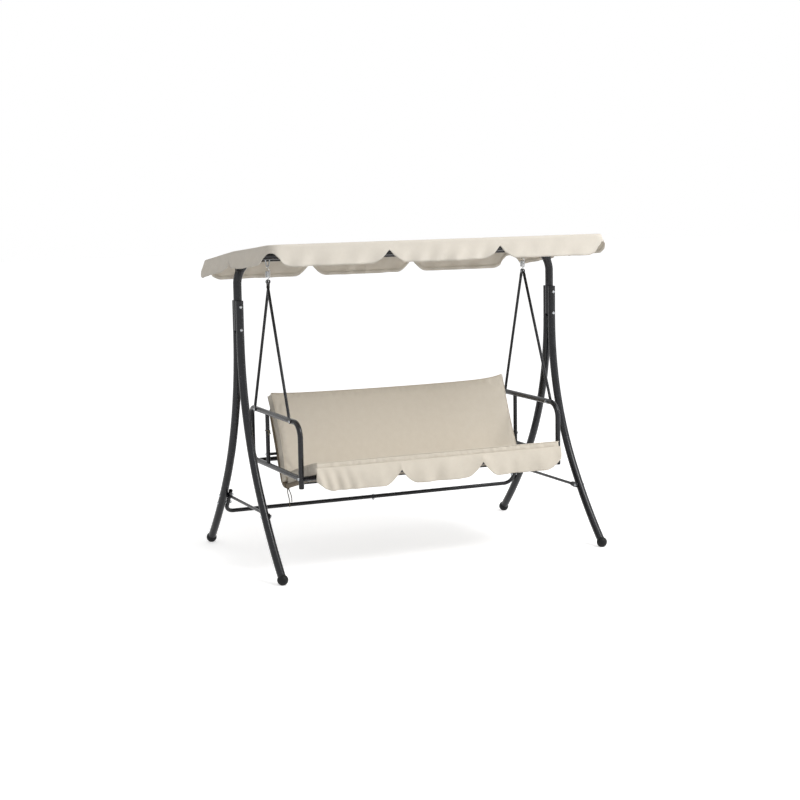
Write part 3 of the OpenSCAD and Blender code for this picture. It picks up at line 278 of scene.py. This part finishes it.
# Extension springs: cold-wound 3.5 mm spring wire, chrome bright, with a loop at each end, one
# on the beam's hook and one on the hanger's pin. They stretch between the stand and the seat.
spring_wire = mottled_finish(
    "bright_spring_steel", {"Metallic": 1.0}, tones=((0, "#b4b7bb"), (1, "#e4e6e8")),
    clouds=(400, 3), gloss=(0.1, 0.24))
wire_d, coil_r, loop_r, pitch = 0.0035, 0.0105, 0.009, 0.0043
turns_up, turn_steps, lead, lead_steps = 3.75, 32, 0.007, 12
top_loop_z, spring_mid_z = 1.40355, 1.37175
coil_top_z = top_loop_z - loop_r - wire_d - 0.0015
upper = [Vector((0, loop_r * math.cos(a), top_loop_z + loop_r * math.sin(a)))
         for a in map(math.radians, range(-60, 180, 10))]
upper += [Vector((0, -loop_r, top_loop_z)),
          Vector((0, -(0.4 * loop_r + 0.6 * coil_r), coil_top_z + lead + 0.001))]
for k in range(4, int(turns_up * turn_steps) + 1):
    a, rest = math.radians(360 / turn_steps * k), max(0, 1 - k / lead_steps)
    upper.append(Vector((
        coil_r * math.sin(a), -coil_r * math.cos(a),
        spring_mid_z + (turns_up - k / turn_steps) * pitch + lead * rest ** 2)))
lower = [Vector((p.x, -p.y, 2 * spring_mid_z - p.z)) for p in reversed(upper[:-1])]
for side, hang_x in (("left", -0.681), ("right", 0.681)):
    route = smooth_route([p + Vector((hang_x, 0, 0)) for p in upper + lower], 2)
    spring = as_mesh(cord_curve("spring_coil_" + side, route, wire_d, spring_wire))
    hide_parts("spring_" + side)
    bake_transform(spring)

# Seat frame and hangers: arm loops, uprights, rails, side tubes and hanger rods of thin steel
# tube with pressed ends, powder coated like the stand.
finish_nodes(powder_coat, "hanger_front_left", "hanger_rear_left", "hanger_front_right",
             "hanger_rear_right", "arm_left", "arm_right", "upright_left", "upright_right",
             "front_rail", "rear_rail", "seat_frame_left", "seat_frame_right", "seat_rear_bar",
             "back_spacers")


# Sling: a taupe polyester cloth stretched over the side tubes and the back's top tube, with
# its hems turned round the tubes and sewn. It carries the cushions.
def woven_cloth(name, light, dark, thread, settings):
    """Plain woven cloth: threads at this spacing in metres on the piece's own flat map, with
    slubs of about 36 mm that vary its colour."""
    cloth = new_material(name)
    flat = add_node(cloth, "ShaderNodeUVMap", {"uv_map": "flat"}).outputs["UV"]
    warp, weft = (add_node(cloth, "ShaderNodeTexWave", {
        "bands_direction": run, "Scale": wave_repeat / thread, "Distortion": 0.6, "Detail": 1,
        "Detail Scale": 3}, {"Vector": flat}).outputs["Fac"] for run in "XY")
    weave = add_node(cloth, "ShaderNodeMath", {"operation": "MULTIPLY"},
                     {0: warp, 1: weft}).outputs["Value"]
    slub = add_node(cloth, "ShaderNodeTexNoise", {"Scale": 28, "Detail": 6, "Roughness": 0.7},
                    {"Vector": flat}).outputs["Fac"]
    fleck = add_node(cloth, "ShaderNodeMath", {"operation": "MULTIPLY_ADD", 1: 0.45},
                     {0: weave, 2: slub}).outputs["Value"]
    tint = add_node(cloth, "ShaderNodeValToRGB", links={"Fac": fleck})
    for stop, position, tone in zip(tint.color_ramp.elements, (0.3, 0.95), (dark, light)):
        stop.position, stop.color = position, linear(tone)
    raised = add_node(cloth, "ShaderNodeBump", {"Strength": 0.35, "Distance": 0.0005},
                      {"Height": weave})
    add_node(cloth, "Principled BSDF", settings,
             {"Base Color": tint.outputs["Color"], "Normal": raised.outputs["Normal"]})
    return cloth


def cloth_grid(half, near, far, radius, cell):
    """A flat rectangle of cloth with rounded corners, as a bmesh. Its layers keep each point's
    flat place, with its row beyond the edge as third number, and its way out over the edge."""
    bm = bmesh.new()
    place = bm.verts.layers.float_vector.new("place")
    out = bm.verts.layers.float_vector.new("out")
    bmesh.ops.create_grid(bm, x_segments=round(2 * half / cell),
                          y_segments=round((far - near) / cell), size=1)
    mid, deep = (near + far) / 2, (far - near) / 2
    for v in bm.verts:
        x, y = v.co.x * half, v.co.y * deep
        a, b = (abs(x) - half) / radius + 1, (abs(y) - deep) / radius + 1
        way = Vector((0, 0, 0))
        if a > 0 and b > 0:
            k = max(a, b) / math.hypot(a, b)
            way = Vector((math.copysign(a, x), math.copysign(b, y), 0)).normalized()
            x = math.copysign(half - radius + a * k * radius, x)
            y = math.copysign(deep - radius + b * k * radius, y)
        elif abs(x) > half - 1e-6:
            way = Vector((math.copysign(1, x), 0, 0))
        elif abs(y) > deep - 1e-6:
            way = Vector((0, math.copysign(1, y), 0))
        v[place] = (x, mid + y, 0)
        v[out] = way
    return bm, place, out


def add_edge_rows(bm, place, edges, rows):
    """Draws the edge of a cloth on by so many rows, numbered in its layer. Extruding makes faces
    in no fixed order, so they are put in the order of their points: each run gives the same."""
    for row in range(1, rows + 1):
        drawn = bmesh.ops.extrude_edge_only(bm, edges=edges)["geom"]
        for v in drawn:
            if isinstance(v, bmesh.types.BMVert):
                v[place].z = row
        edges = [e for e in drawn if isinstance(e, bmesh.types.BMEdge) and e.is_boundary
                 and all(v[place].z == row for v in e.verts)]
    bm.verts.index_update()
    count = len(bm.verts)

    def by_points(part):
        a, b, *c = sorted(v.index for v in part.verts)[:3]
        return (a * count + b) * count + sum(c)

    bm.edges.sort(key=by_points)
    bm.faces.sort(key=by_points)


def sewn_piece(name, bm, material, flat_map):
    """Makes a bmesh a piece, with the flat map of each point in metres for its weave."""
    bmesh.ops.recalc_face_normals(bm, faces=bm.faces)
    uv = bm.loops.layers.uv.new("flat")
    for face in bm.faces:
        face.smooth = True
        for loop in face.loops:
            loop[uv].uv = flat_map(loop.vert)
    mesh = bpy.data.meshes.new(name)
    bm.to_mesh(mesh)
    bm.free()
    mesh.materials.append(material)
    piece = bpy.data.objects.new(name, mesh)
    bpy.context.scene.collection.objects.link(piece)
    return piece


def thicken(piece, thickness):
    """Gives a sheet its thickness, half of it on each side."""
    thick = piece.modifiers.new("cloth_thickness", "SOLIDIFY")
    thick.thickness, thick.offset = thickness, 0


# Taupe polyester canvas, 0.9 mm threads drawn at 2.4 mm.
sling_cloth = woven_cloth("polyester_canvas_taupe", "#8b7d69", "#6c6152", 0.0024,
                          {"Roughness": 0.9, "Sheen Weight": 0.15, "Specular IOR Level": 0.3})
corner = Vector((0, 0.008, 0.345))
back_dir = Vector((0, 0.4131, 0.9107))
back_fore = Vector((0, -0.9107, 0.4131))
turn = math.acos(max(-1, min(1, -seat_dir.dot(back_dir))))
bend_r = 0.05
reach = bend_r * math.tan(turn / 2)
bend_at = corner + (seat_dir + back_dir).normalized() * bend_r / math.cos(turn / 2)


def on_sling(along):
    """Point on the plane of the side tubes and the way up from it; along runs up the back."""
    if along < -reach:
        return corner - seat_dir * along, seat_up
    if along > reach:
        return corner + back_dir * along, back_fore
    share = (along + reach) / (2 * reach)
    up = Matrix.Rotation(turn * share, 3, "X") @ seat_up
    if up.dot(back_fore) < seat_up.dot(back_fore):
        up = Matrix.Rotation(-turn * share, 3, "X") @ seat_up
    return bend_at - up * bend_r, up


# The hem wraps the tube in rows 24 degrees or 4.7 mm apart; the cloth between gives by 7 mm.
sling_front, sling_top, tube_x, sling_slack, sling_t = -0.3745, 0.425, 0.622, 0.007, 0.0014
wrap_r, wrap_rows, wrap_turn, wrap_step = 0.0113, 9, 24, 0.0047
bm, place, out = cloth_grid(tube_x, sling_front, sling_top, 0.06, 0.012)
hems = [e for e in bm.edges if e.is_boundary
        and not all(abs(v[place].y - sling_front) < 0.05 for v in e.verts)]
add_edge_rows(bm, place, hems, wrap_rows)
for v in bm.verts:
    x, along, row = v[place]
    way = v[out]
    lie = math.radians(wrap_turn * row)
    x += way.x * wrap_r * math.sin(lie)
    along += way.y * wrap_r * math.sin(lie)
    base, up = on_sling(along)
    mid_share = abs(2 * (along - sling_front) / (sling_top - sling_front) - 1)
    slack = sling_slack * (1 - (x / tube_x) ** 2) * (1 - mid_share ** 3)
    height = wrap_r * math.cos(lie) - (max(0, slack) if row == 0 else 0)
    v.co = base + up * height + across * x
sling = sewn_piece("sling_sheet", bm, sling_cloth,
                   lambda v: (v[place].x + v[out].x * v[place].z * wrap_step,
                              v[place].y + v[out].y * v[place].z * wrap_step))
thicken(sling, sling_t)
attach(sling, "seat")
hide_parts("sling")


# Cushions: flat foam pads in a cream polyester twill cover with boxed sides, sewn along the
# edges with a welt. They lie on the sling; the back one leans and the seat one butts on it.
def boxed_pad(at, along, up, width, length, thickness, draw_in, crown, ears, cells):
    """A boxed cushion cover: the box is cut into cells, its sides pull in between the corners,
    its face is crowned and its corners stand out as ears. Returns the seam points as well."""
    bm = bmesh.new()
    place = bm.verts.layers.float_vector.new("place")
    bmesh.ops.create_cube(bm, size=1)
    for axis, cuts in enumerate(cells):
        runs = [e for e in bm.edges if abs((e.verts[0].co - e.verts[1].co)[axis]) > 0.9]
        bmesh.ops.subdivide_edges(bm, edges=runs, cuts=cuts, use_grid_fill=True)
    seams = []
    for v in bm.verts:
        x, u, n = v.co
        if (abs(x) > 0.4999 or abs(u) > 0.4999) and abs(n) > 0.4999:
            seams.append(v.index)
        v[place] = (x * width, u * length, n * thickness)
        pull_x, pull_u = draw_in * (1 - 4 * u * u), draw_in * (1 - 4 * x * x)
        fall = crown * (0.3 * (2 * x) ** 2 + 0.7 * (2 * u) ** 2) if n > 0 else 0
        ear = ears[(x > 0) + 2 * (u > 0)] * abs(4 * x * u) ** 9
        v.co = (at + across * x * (width - 2 * pull_x)
                + along * (0.5 * length + u * (length - 2 * pull_u))
                + up * ((n + 0.5) * thickness - fall * 2 * max(0, n))
                + along * math.copysign(ear, u))
    return bm, place, seams


def round_rim(x, u, width, length):
    """How far round a pad's rim a seam point lies, from the rim's near left corner."""
    if u < -length / 2 + 1e-6:
        return x + width / 2
    if x > width / 2 - 1e-6:
        return width + u + length / 2
    if u > length / 2 - 1e-6:
        return width + length + width / 2 - x
    return 2 * width + length + length / 2 - u


def stuff(pad, seams, at, up, cap):
    """Blows the cover up a little with the cloth solver, with its seams held, so that the cloth
    draws and ripples along them. Points move by the cap at most and not below the pad's bed."""
    group = pad.vertex_groups.new(name="seams")
    group.add(seams, 1.0, "REPLACE")
    rest = [v.co.copy() for v in pad.data.vertices]
    solver = pad.modifiers.new("stuffing", "CLOTH")
    solver.settings.quality = 5
    solver.settings.mass = 0.25
    solver.settings.tension_stiffness = 12
    solver.settings.compression_stiffness = 12
    solver.settings.bending_stiffness = 0.2
    solver.settings.use_pressure = True
    solver.settings.uniform_pressure_force = 4
    solver.settings.shrink_min = -0.025
    solver.settings.vertex_group_mass = "seams"
    solver.settings.effector_weights.gravity = 0
    solver.point_cache.frame_start, solver.point_cache.frame_end = 1, 20
    for step in range(1, 21):
        bpy.context.scene.frame_set(step)
    blown = pad.evaluated_get(bpy.context.evaluated_depsgraph_get()).data
    moved = [v.co.copy() for v in blown.vertices]
    pad.modifiers.remove(solver)
    bpy.context.scene.frame_set(1)
    for v, a, b in zip(pad.data.vertices, rest, moved):
        step = b - a
        if step.length > cap:
            step *= cap / step.length
        low = (a + step - at).dot(up)
        v.co = a + step - up * min(0, low)
    pad.data.update()


def round_off(pad):
    """One subdivision, as the last thing done to a stuffed pad."""
    smooth = pad.modifiers.new("smooth_cloth", "SUBSURF")
    smooth.levels = smooth.render_levels = 1


# Polyester twill, 0.6 mm threads drawn at 2 mm; matt, with a soft bloom at grazing angles.
cushion_cloth = woven_cloth("polyester_twill_cream", "#dcd4c6", "#d5ccbd", 0.002,
                            {"Roughness": 0.88, "Sheen Weight": 0.12, "Specular IOR Level": 0.3})
pad_w, pad_lift, pad_slack, stuff_cap, welt_d = 1.264, 0.0126, 0.004, 0.009, 0.004
pad_draw_in, pad_crown, pad_cells = 0.008, 0.008, (121, 39, 5)
seat_pad_near, seat_pad_t = 0.0866, 0.058
# Each pad's bed, its two directions, its length and thickness, and how far its ears stand out:
# near left, near right, far left and far right.
pads = {
    "back_cushion": (corner + back_dir * 0.022 + back_fore * pad_lift, back_dir, back_fore,
                     0.428, 0.066, (0.002, 0.002, 0.006, 0.02)),
    "seat_cushion": (corner + seat_dir * seat_pad_near + seat_up * pad_lift, seat_dir, seat_up,
                     0.4011, seat_pad_t, (0.002, 0.002, 0.002, 0.002)),
}
for node, (at, along, up, length, thickness, ears) in pads.items():
    bm, place, seams = boxed_pad(at, along, up, pad_w, length, thickness - pad_slack,
                                 pad_draw_in, pad_crown, ears, pad_cells)
    bm.verts.ensure_lookup_table()
    rims = {}
    for k in seams:
        x, u, n = bm.verts[k][place]
        rims.setdefault("upper" if n > 0 else "lower", []).append(
            (round_rim(x, u, pad_w, length), k))
    pad = sewn_piece(node + "_pad", bm, cushion_cloth,
                     lambda v: (v[place].x + v[place].z, v[place].y + v[place].z))
    stuff(pad, seams, at, up, stuff_cap)
    round_off(pad)
    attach(pad, "seat")
    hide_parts(node)
    for rim, points in rims.items():
        route = [pad.data.vertices[k].co.copy() for _, k in sorted(points)]
        welt = as_mesh(cord_curve(node + "_welt_" + rim, route, welt_d, cushion_cloth, ring=True))
        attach(welt, "seat")

# Flap: a double layer of the cushions' twill, sewn under the roll of the seat cushion's front
# edge and cut in three panels with rounded corners. It hangs free in front of the frame.
flap_w, flap_l, flap_t, notch, flap_end, panel_r = 1.276, 0.110, 0.003, 0.040, 0.06, 0.085


def scallop(along, slits, shallow, full, gape=0.0, end_drop=0.0):
    """Drop of a scalloped edge: full on the panels, shallow at the slits between them, which
    gape by so much on each side, and end_drop at the row's ends. The hem is a little wavy."""
    gap, slit = min((abs(along - s), s) for s in slits)
    k = min(1, max(0, gap - gape) / panel_r)
    shallow = end_drop if end_drop and slit in (slits[0], slits[-1]) else shallow
    wavy = 0.003 * k * noise.noise(Vector((along * 9, 7, 2)))
    return shallow + (full - shallow) * (1 - (1 - k) ** 1.8) + wavy


# The seam's ends follow the cushion's edge, which is drawn in by 7 mm at the middle.
seam_reach, seam_below_top, seam_draw_in = 0.4017, 0.035, 0.007
nose = (corner + seat_dir * (seat_pad_near + seam_reach)
        + seat_up * (pad_lift + seat_pad_t - seam_below_top))
flap_slits = [-flap_w / 2 + k * flap_w / 3 for k in range(4)]
bm = bmesh.new()
place = bm.verts.layers.float_vector.new("place")
bmesh.ops.create_grid(bm, x_segments=252, y_segments=20, size=1)
for v in bm.verts:
    x, down = v.co.x * flap_w / 2, (1 - v.co.y) / 2
    drop = scallop(x, flap_slits, notch, flap_l, end_drop=flap_end)
    v[place] = (x, -drop * down, 0)
    pull = seam_draw_in * max(0, 1 - (2 * x / pad_w) ** 2) * (1 - down)
    panel = (x / flap_w * 3 + 0.5) % 1
    ripple = (0.005 * math.sin(2 * math.pi * (2 * panel + 0.25 * math.sin(9 * x) - 0.15 * down))
              + 0.009 * noise.noise(Vector((x * 17, down * 0.8, 3)))
              + 0.007 * math.sin(105 * x - 3.5 * down) * math.exp(-((x + 0.55) / 0.1) ** 2))
    curl = 0.006 * down ** 3 * (1 - min(1, min(abs(x - s) for s in flap_slits) / panel_r))
    belly = 0.005 * math.sin(math.pi * down)
    v.co = Vector((x, nose.y - 0.004 - belly - down ** 0.6 * (0.005 + ripple) - curl
                   - pull * seat_dir.y, nose.z - pull * seat_dir.z - drop * down))
flap_area = sum(f.calc_area() for f in bm.faces)
flap = sewn_piece("seat_flap_sheet", bm, cushion_cloth, lambda v: v[place].xy)
thicken(flap, flap_t)
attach(flap, "seat")
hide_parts("seat_flap")

# Canopy frame: thin steel tube, bent to two side bars and joined by plugged front and rear
# bars, powder coated like the stand.
finish_nodes(powder_coat, "canopy_bar_left", "canopy_bar_right", "canopy_front_bar",
             "canopy_rear_bar")

# Canopy: one polyester canvas cloth over the bars, with a hemmed valance all round that is
# slit at the corners, twice in front and behind and once at each side.
# Cream canvas, 0.9 mm threads drawn at 2.4 mm. Light comes through it a little and warms its
# inner side.
canopy_cloth = woven_cloth("polyester_canvas_cream", "#e9e3d8", "#e1dace", 0.0024,
                           {"Roughness": 0.88, "Sheen Weight": 0.1, "Specular IOR Level": 0.3})
canvas = add_node(canopy_cloth, "Principled BSDF")
through = add_node(canopy_cloth, "ShaderNodeBsdfTranslucent", {"Color": linear("#e9dcc6")})
sunlit = add_node(canopy_cloth, "ShaderNodeMixShader", {"Fac": 0.14},
                  {1: canvas.outputs["BSDF"], 2: through.outputs["BSDF"]})
add_node(canopy_cloth, "Material Output", links={"Surface": sunlit.outputs["Shader"]})
bar_x, bar_front, bar_rear, bar_r, corner_r = 0.847, -0.506, 0.456, 0.0083, 0.042
front_pitch, rear_pitch, bar_mid_z, sag, canopy_t = 5.2, 7.6, 1.476, 0.009, 0.0014
front_slope, rear_slope = math.tan(math.radians(front_pitch)), math.tan(math.radians(rear_pitch))
mid_y = (bar_front + bar_rear) / 2
roof_z = bar_mid_z + bar_r / math.cos(math.radians(front_pitch)) + 0.001
# Rows round the bar, down the valance and up inside the hem; the hem's rows by their share of
# its height above the lower edge.
cloth_over, valance_h, slit_h, hem_h = 0.0100, 0.098, 0.038, 0.018
round_rows, drop_rows, hem_rows = 4, 8, (0.5, 0, 0, 0.5, 0.95)
row_step, stitched_in, hem_inside = 0.008, 0.0008, 0.0026
bm, place, out = cloth_grid(bar_x, bar_front, bar_rear, corner_r, 0.0094)
add_edge_rows(bm, place, [e for e in bm.edges if e.is_boundary],
              round_rows + drop_rows + len(hem_rows))
edge_x, edge_y, edge_r = 0.8576, 0.9792, 0.05
run_long, run_side, arc = 2 * (edge_x - edge_r), edge_y - 2 * edge_r, math.pi * edge_r / 2
third = (run_long + arc) / 6
side_slit = 3 * third + arc / 2 + run_side / 2
canopy_slits = [-3 * third, -third, third, 3 * third, side_slit, -side_slit]


def along_edge(x, y, way):
    """Distance along the canopy's edge from the middle of the front, left negative; and from
    the middle of the rear on the rear half. Corners count by their turn."""
    if way.x and way.y:
        share = math.atan2(abs(way.x), abs(way.y)) / (math.pi / 2)
        return math.copysign(run_long / 2 + arc * share, way.x)
    if way.y:
        return x
    from_corner = abs(y - mid_y - math.copysign(run_side / 2, y - mid_y))
    return math.copysign(run_long / 2 + arc + from_corner, way.x)


for v in bm.verts:
    x, y, row = v[place]
    way = v[out]
    z = roof_z - y * (front_slope if y < 0 else rear_slope)
    if row == 0:
        bay = min(1, y / (bar_front + 0.013) if y < 0 else y / (bar_rear - 0.013))
        dip = sag * (1 - min(1, abs(x) / 0.83) ** 4) * 4 * bay * (1 - bay)
        ripple = 0.0016 * noise.noise(Vector((x * 6, y * 6, 1))) * min(1, 20 * bay * (1 - bay))
        v.co = (x, y, z - dip + ripple)
        continue
    lie = min(1, row / round_rows) * math.pi / 2
    far = cloth_over * math.sin(lie)
    fall = cloth_over * (1 - math.cos(lie))
    if row > round_rows:
        s = along_edge(x, y, way)
        gape = 0.012 if way.x and way.y else 0.003
        drop = scallop(s, canopy_slits, slit_h, valance_h, gape) - cloth_over
        step = row - round_rows
        if step <= drop_rows:
            hang = (drop - hem_h) * step / drop_rows
        else:
            hang = drop - hem_h * hem_rows[int(step - drop_rows) - 1]
        down = hang / valance_h
        fold = (math.cos(2 * math.pi * (2.6 * s / third + 0.5 * down + 0.35 * math.sin(5 * s)))
                + 1.6 * noise.noise(Vector((x * 13, y * 13, 5 + down))))
        near_slit = 1 - min(1, min(abs(s - c) for c in canopy_slits) / panel_r)
        fall += hang * (1 - 0.12 * abs(way.x))
        if way.x < -0.7:
            # On the left side the front panel laps outward over the rear one, and the rear
            # corner droops.
            lap = math.exp(-((y - mid_y) / 0.09) ** 2)
            if y < mid_y:
                far += 0.024 * lap * down
                fall -= 0.16 * hang * lap
            else:
                far -= 0.012 * lap * down
                fall += 0.02 * down * max(0, (y - 0.26) / 0.2) ** 2
        far += ((0.008 - 0.004 * abs(way.x)) * fold * down ** 1.2 + 0.01 * down
                + 0.014 * near_slit ** 2 * down)
        far += 0.022 * down * abs(way.x)
        if step == drop_rows:
            far -= stitched_in
        elif step > drop_rows + 2:
            far -= hem_inside
    v.co = (x + way.x * far, y + way.y * far, z - fall)
canopy_area = sum(f.calc_area() for f in bm.faces)
canopy = sewn_piece("canopy_sheet", bm, canopy_cloth,
                    lambda v: (v[place].x + v[out].x * v[place].z * row_step,
                               v[place].y + v[out].y * v[place].z * row_step))
thicken(canopy, canopy_t)
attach(canopy, "canopy")
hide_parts("canopy_roof", "valance_front", "valance_rear", "valance_left",
            "valance_right")


# Studio: a plain white floor that runs out into a white background. Camera, glossy and
# transmission rays see the floor a little lifted and the background white.
def seen_rays(material):
    """1 on the rays that show the floor or the background as it is, 0 on those that light."""
    rays = add_node(material, "ShaderNodeLightPath").outputs
    mirrored = add_node(material, "ShaderNodeMath", {"operation": "MAXIMUM"},
                        {0: rays["Is Camera Ray"], 1: rays["Is Glossy Ray"]})
    seen = add_node(material, "ShaderNodeMath", {"operation": "MAXIMUM"},
                    {0: mirrored.outputs["Value"], 1: rays["Is Transmission Ray"]})
    return seen.outputs["Value"]


floor_paint = new_material("painted_floor_white")
paint = add_node(floor_paint, "Principled BSDF",
                 {"Base Color": linear("#f2f2f2"), "Roughness": 0.9})
lifted = add_node(floor_paint, "ShaderNodeMath", {"operation": "MULTIPLY", 1: 0.5},
                  {0: seen_rays(floor_paint)})
glow = add_node(floor_paint, "ShaderNodeEmission", {"Color": linear("#ffffff")},
                {"Strength": lifted.outputs["Value"]})
total = add_node(floor_paint, "ShaderNodeAddShader",
                 links={0: paint.outputs["BSDF"], 1: glow.outputs["Emission"]})
add_node(floor_paint, "Material Output", links={"Surface": total.outputs["Shader"]})
bm = bmesh.new()
bmesh.ops.create_grid(bm, x_segments=1, y_segments=1, size=30)
mesh = bpy.data.meshes.new("floor")
bm.to_mesh(mesh)
bm.free()
mesh.materials.append(floor_paint)
floor = bpy.data.objects.new("floor", mesh)
bpy.context.scene.collection.objects.link(floor)

# The background lights the bench more from the right than from the left, like a large soft
# box, and three lamps are aimed at the seat.
world = bpy.data.worlds.new("studio")
bpy.context.scene.world = world
world.use_nodes = True
towards = add_node(world, "ShaderNodeTexCoord").outputs["Generated"]
sideways = add_node(world, "ShaderNodeSeparateXYZ", links={"Vector": towards}).outputs["X"]
soft_box = add_node(world, "ShaderNodeMapRange", {
    "From Min": -1, "From Max": 1, "To Min": 0.42, "To Max": 0.86}, {"Value": sideways})
level = add_node(world, "ShaderNodeMath", {"operation": "MAXIMUM"},
                 {0: seen_rays(world), 1: soft_box.outputs["Result"]})
add_node(world, "Background", {"Color": linear("#ffffff")}, {"Strength": level.outputs["Value"]})
aim = Vector((0, 0, 0.8))
for name, shape, lamp_at, width, height, watts in (
        ("key", "DISK", (2.8, -3.8, 5.6), 2.6, 2.6, 205),
        ("fill", "DISK", (-4.5, -3.5, 2.6), 3.0, 3.0, 6),
        ("strip", "RECTANGLE", (4.4, -3.2, 1.7), 0.5, 3.0, 22)):
    lamp = bpy.data.lights.new(name, "AREA")
    lamp.shape, lamp.size, lamp.size_y, lamp.energy = shape, width, height, watts
    light = bpy.data.objects.new(name, lamp)
    light.location = lamp_at
    light.rotation_euler = (aim - Vector(lamp_at)).to_track_quat("-Z", "Y").to_euler()
    bpy.context.scene.collection.objects.link(light)
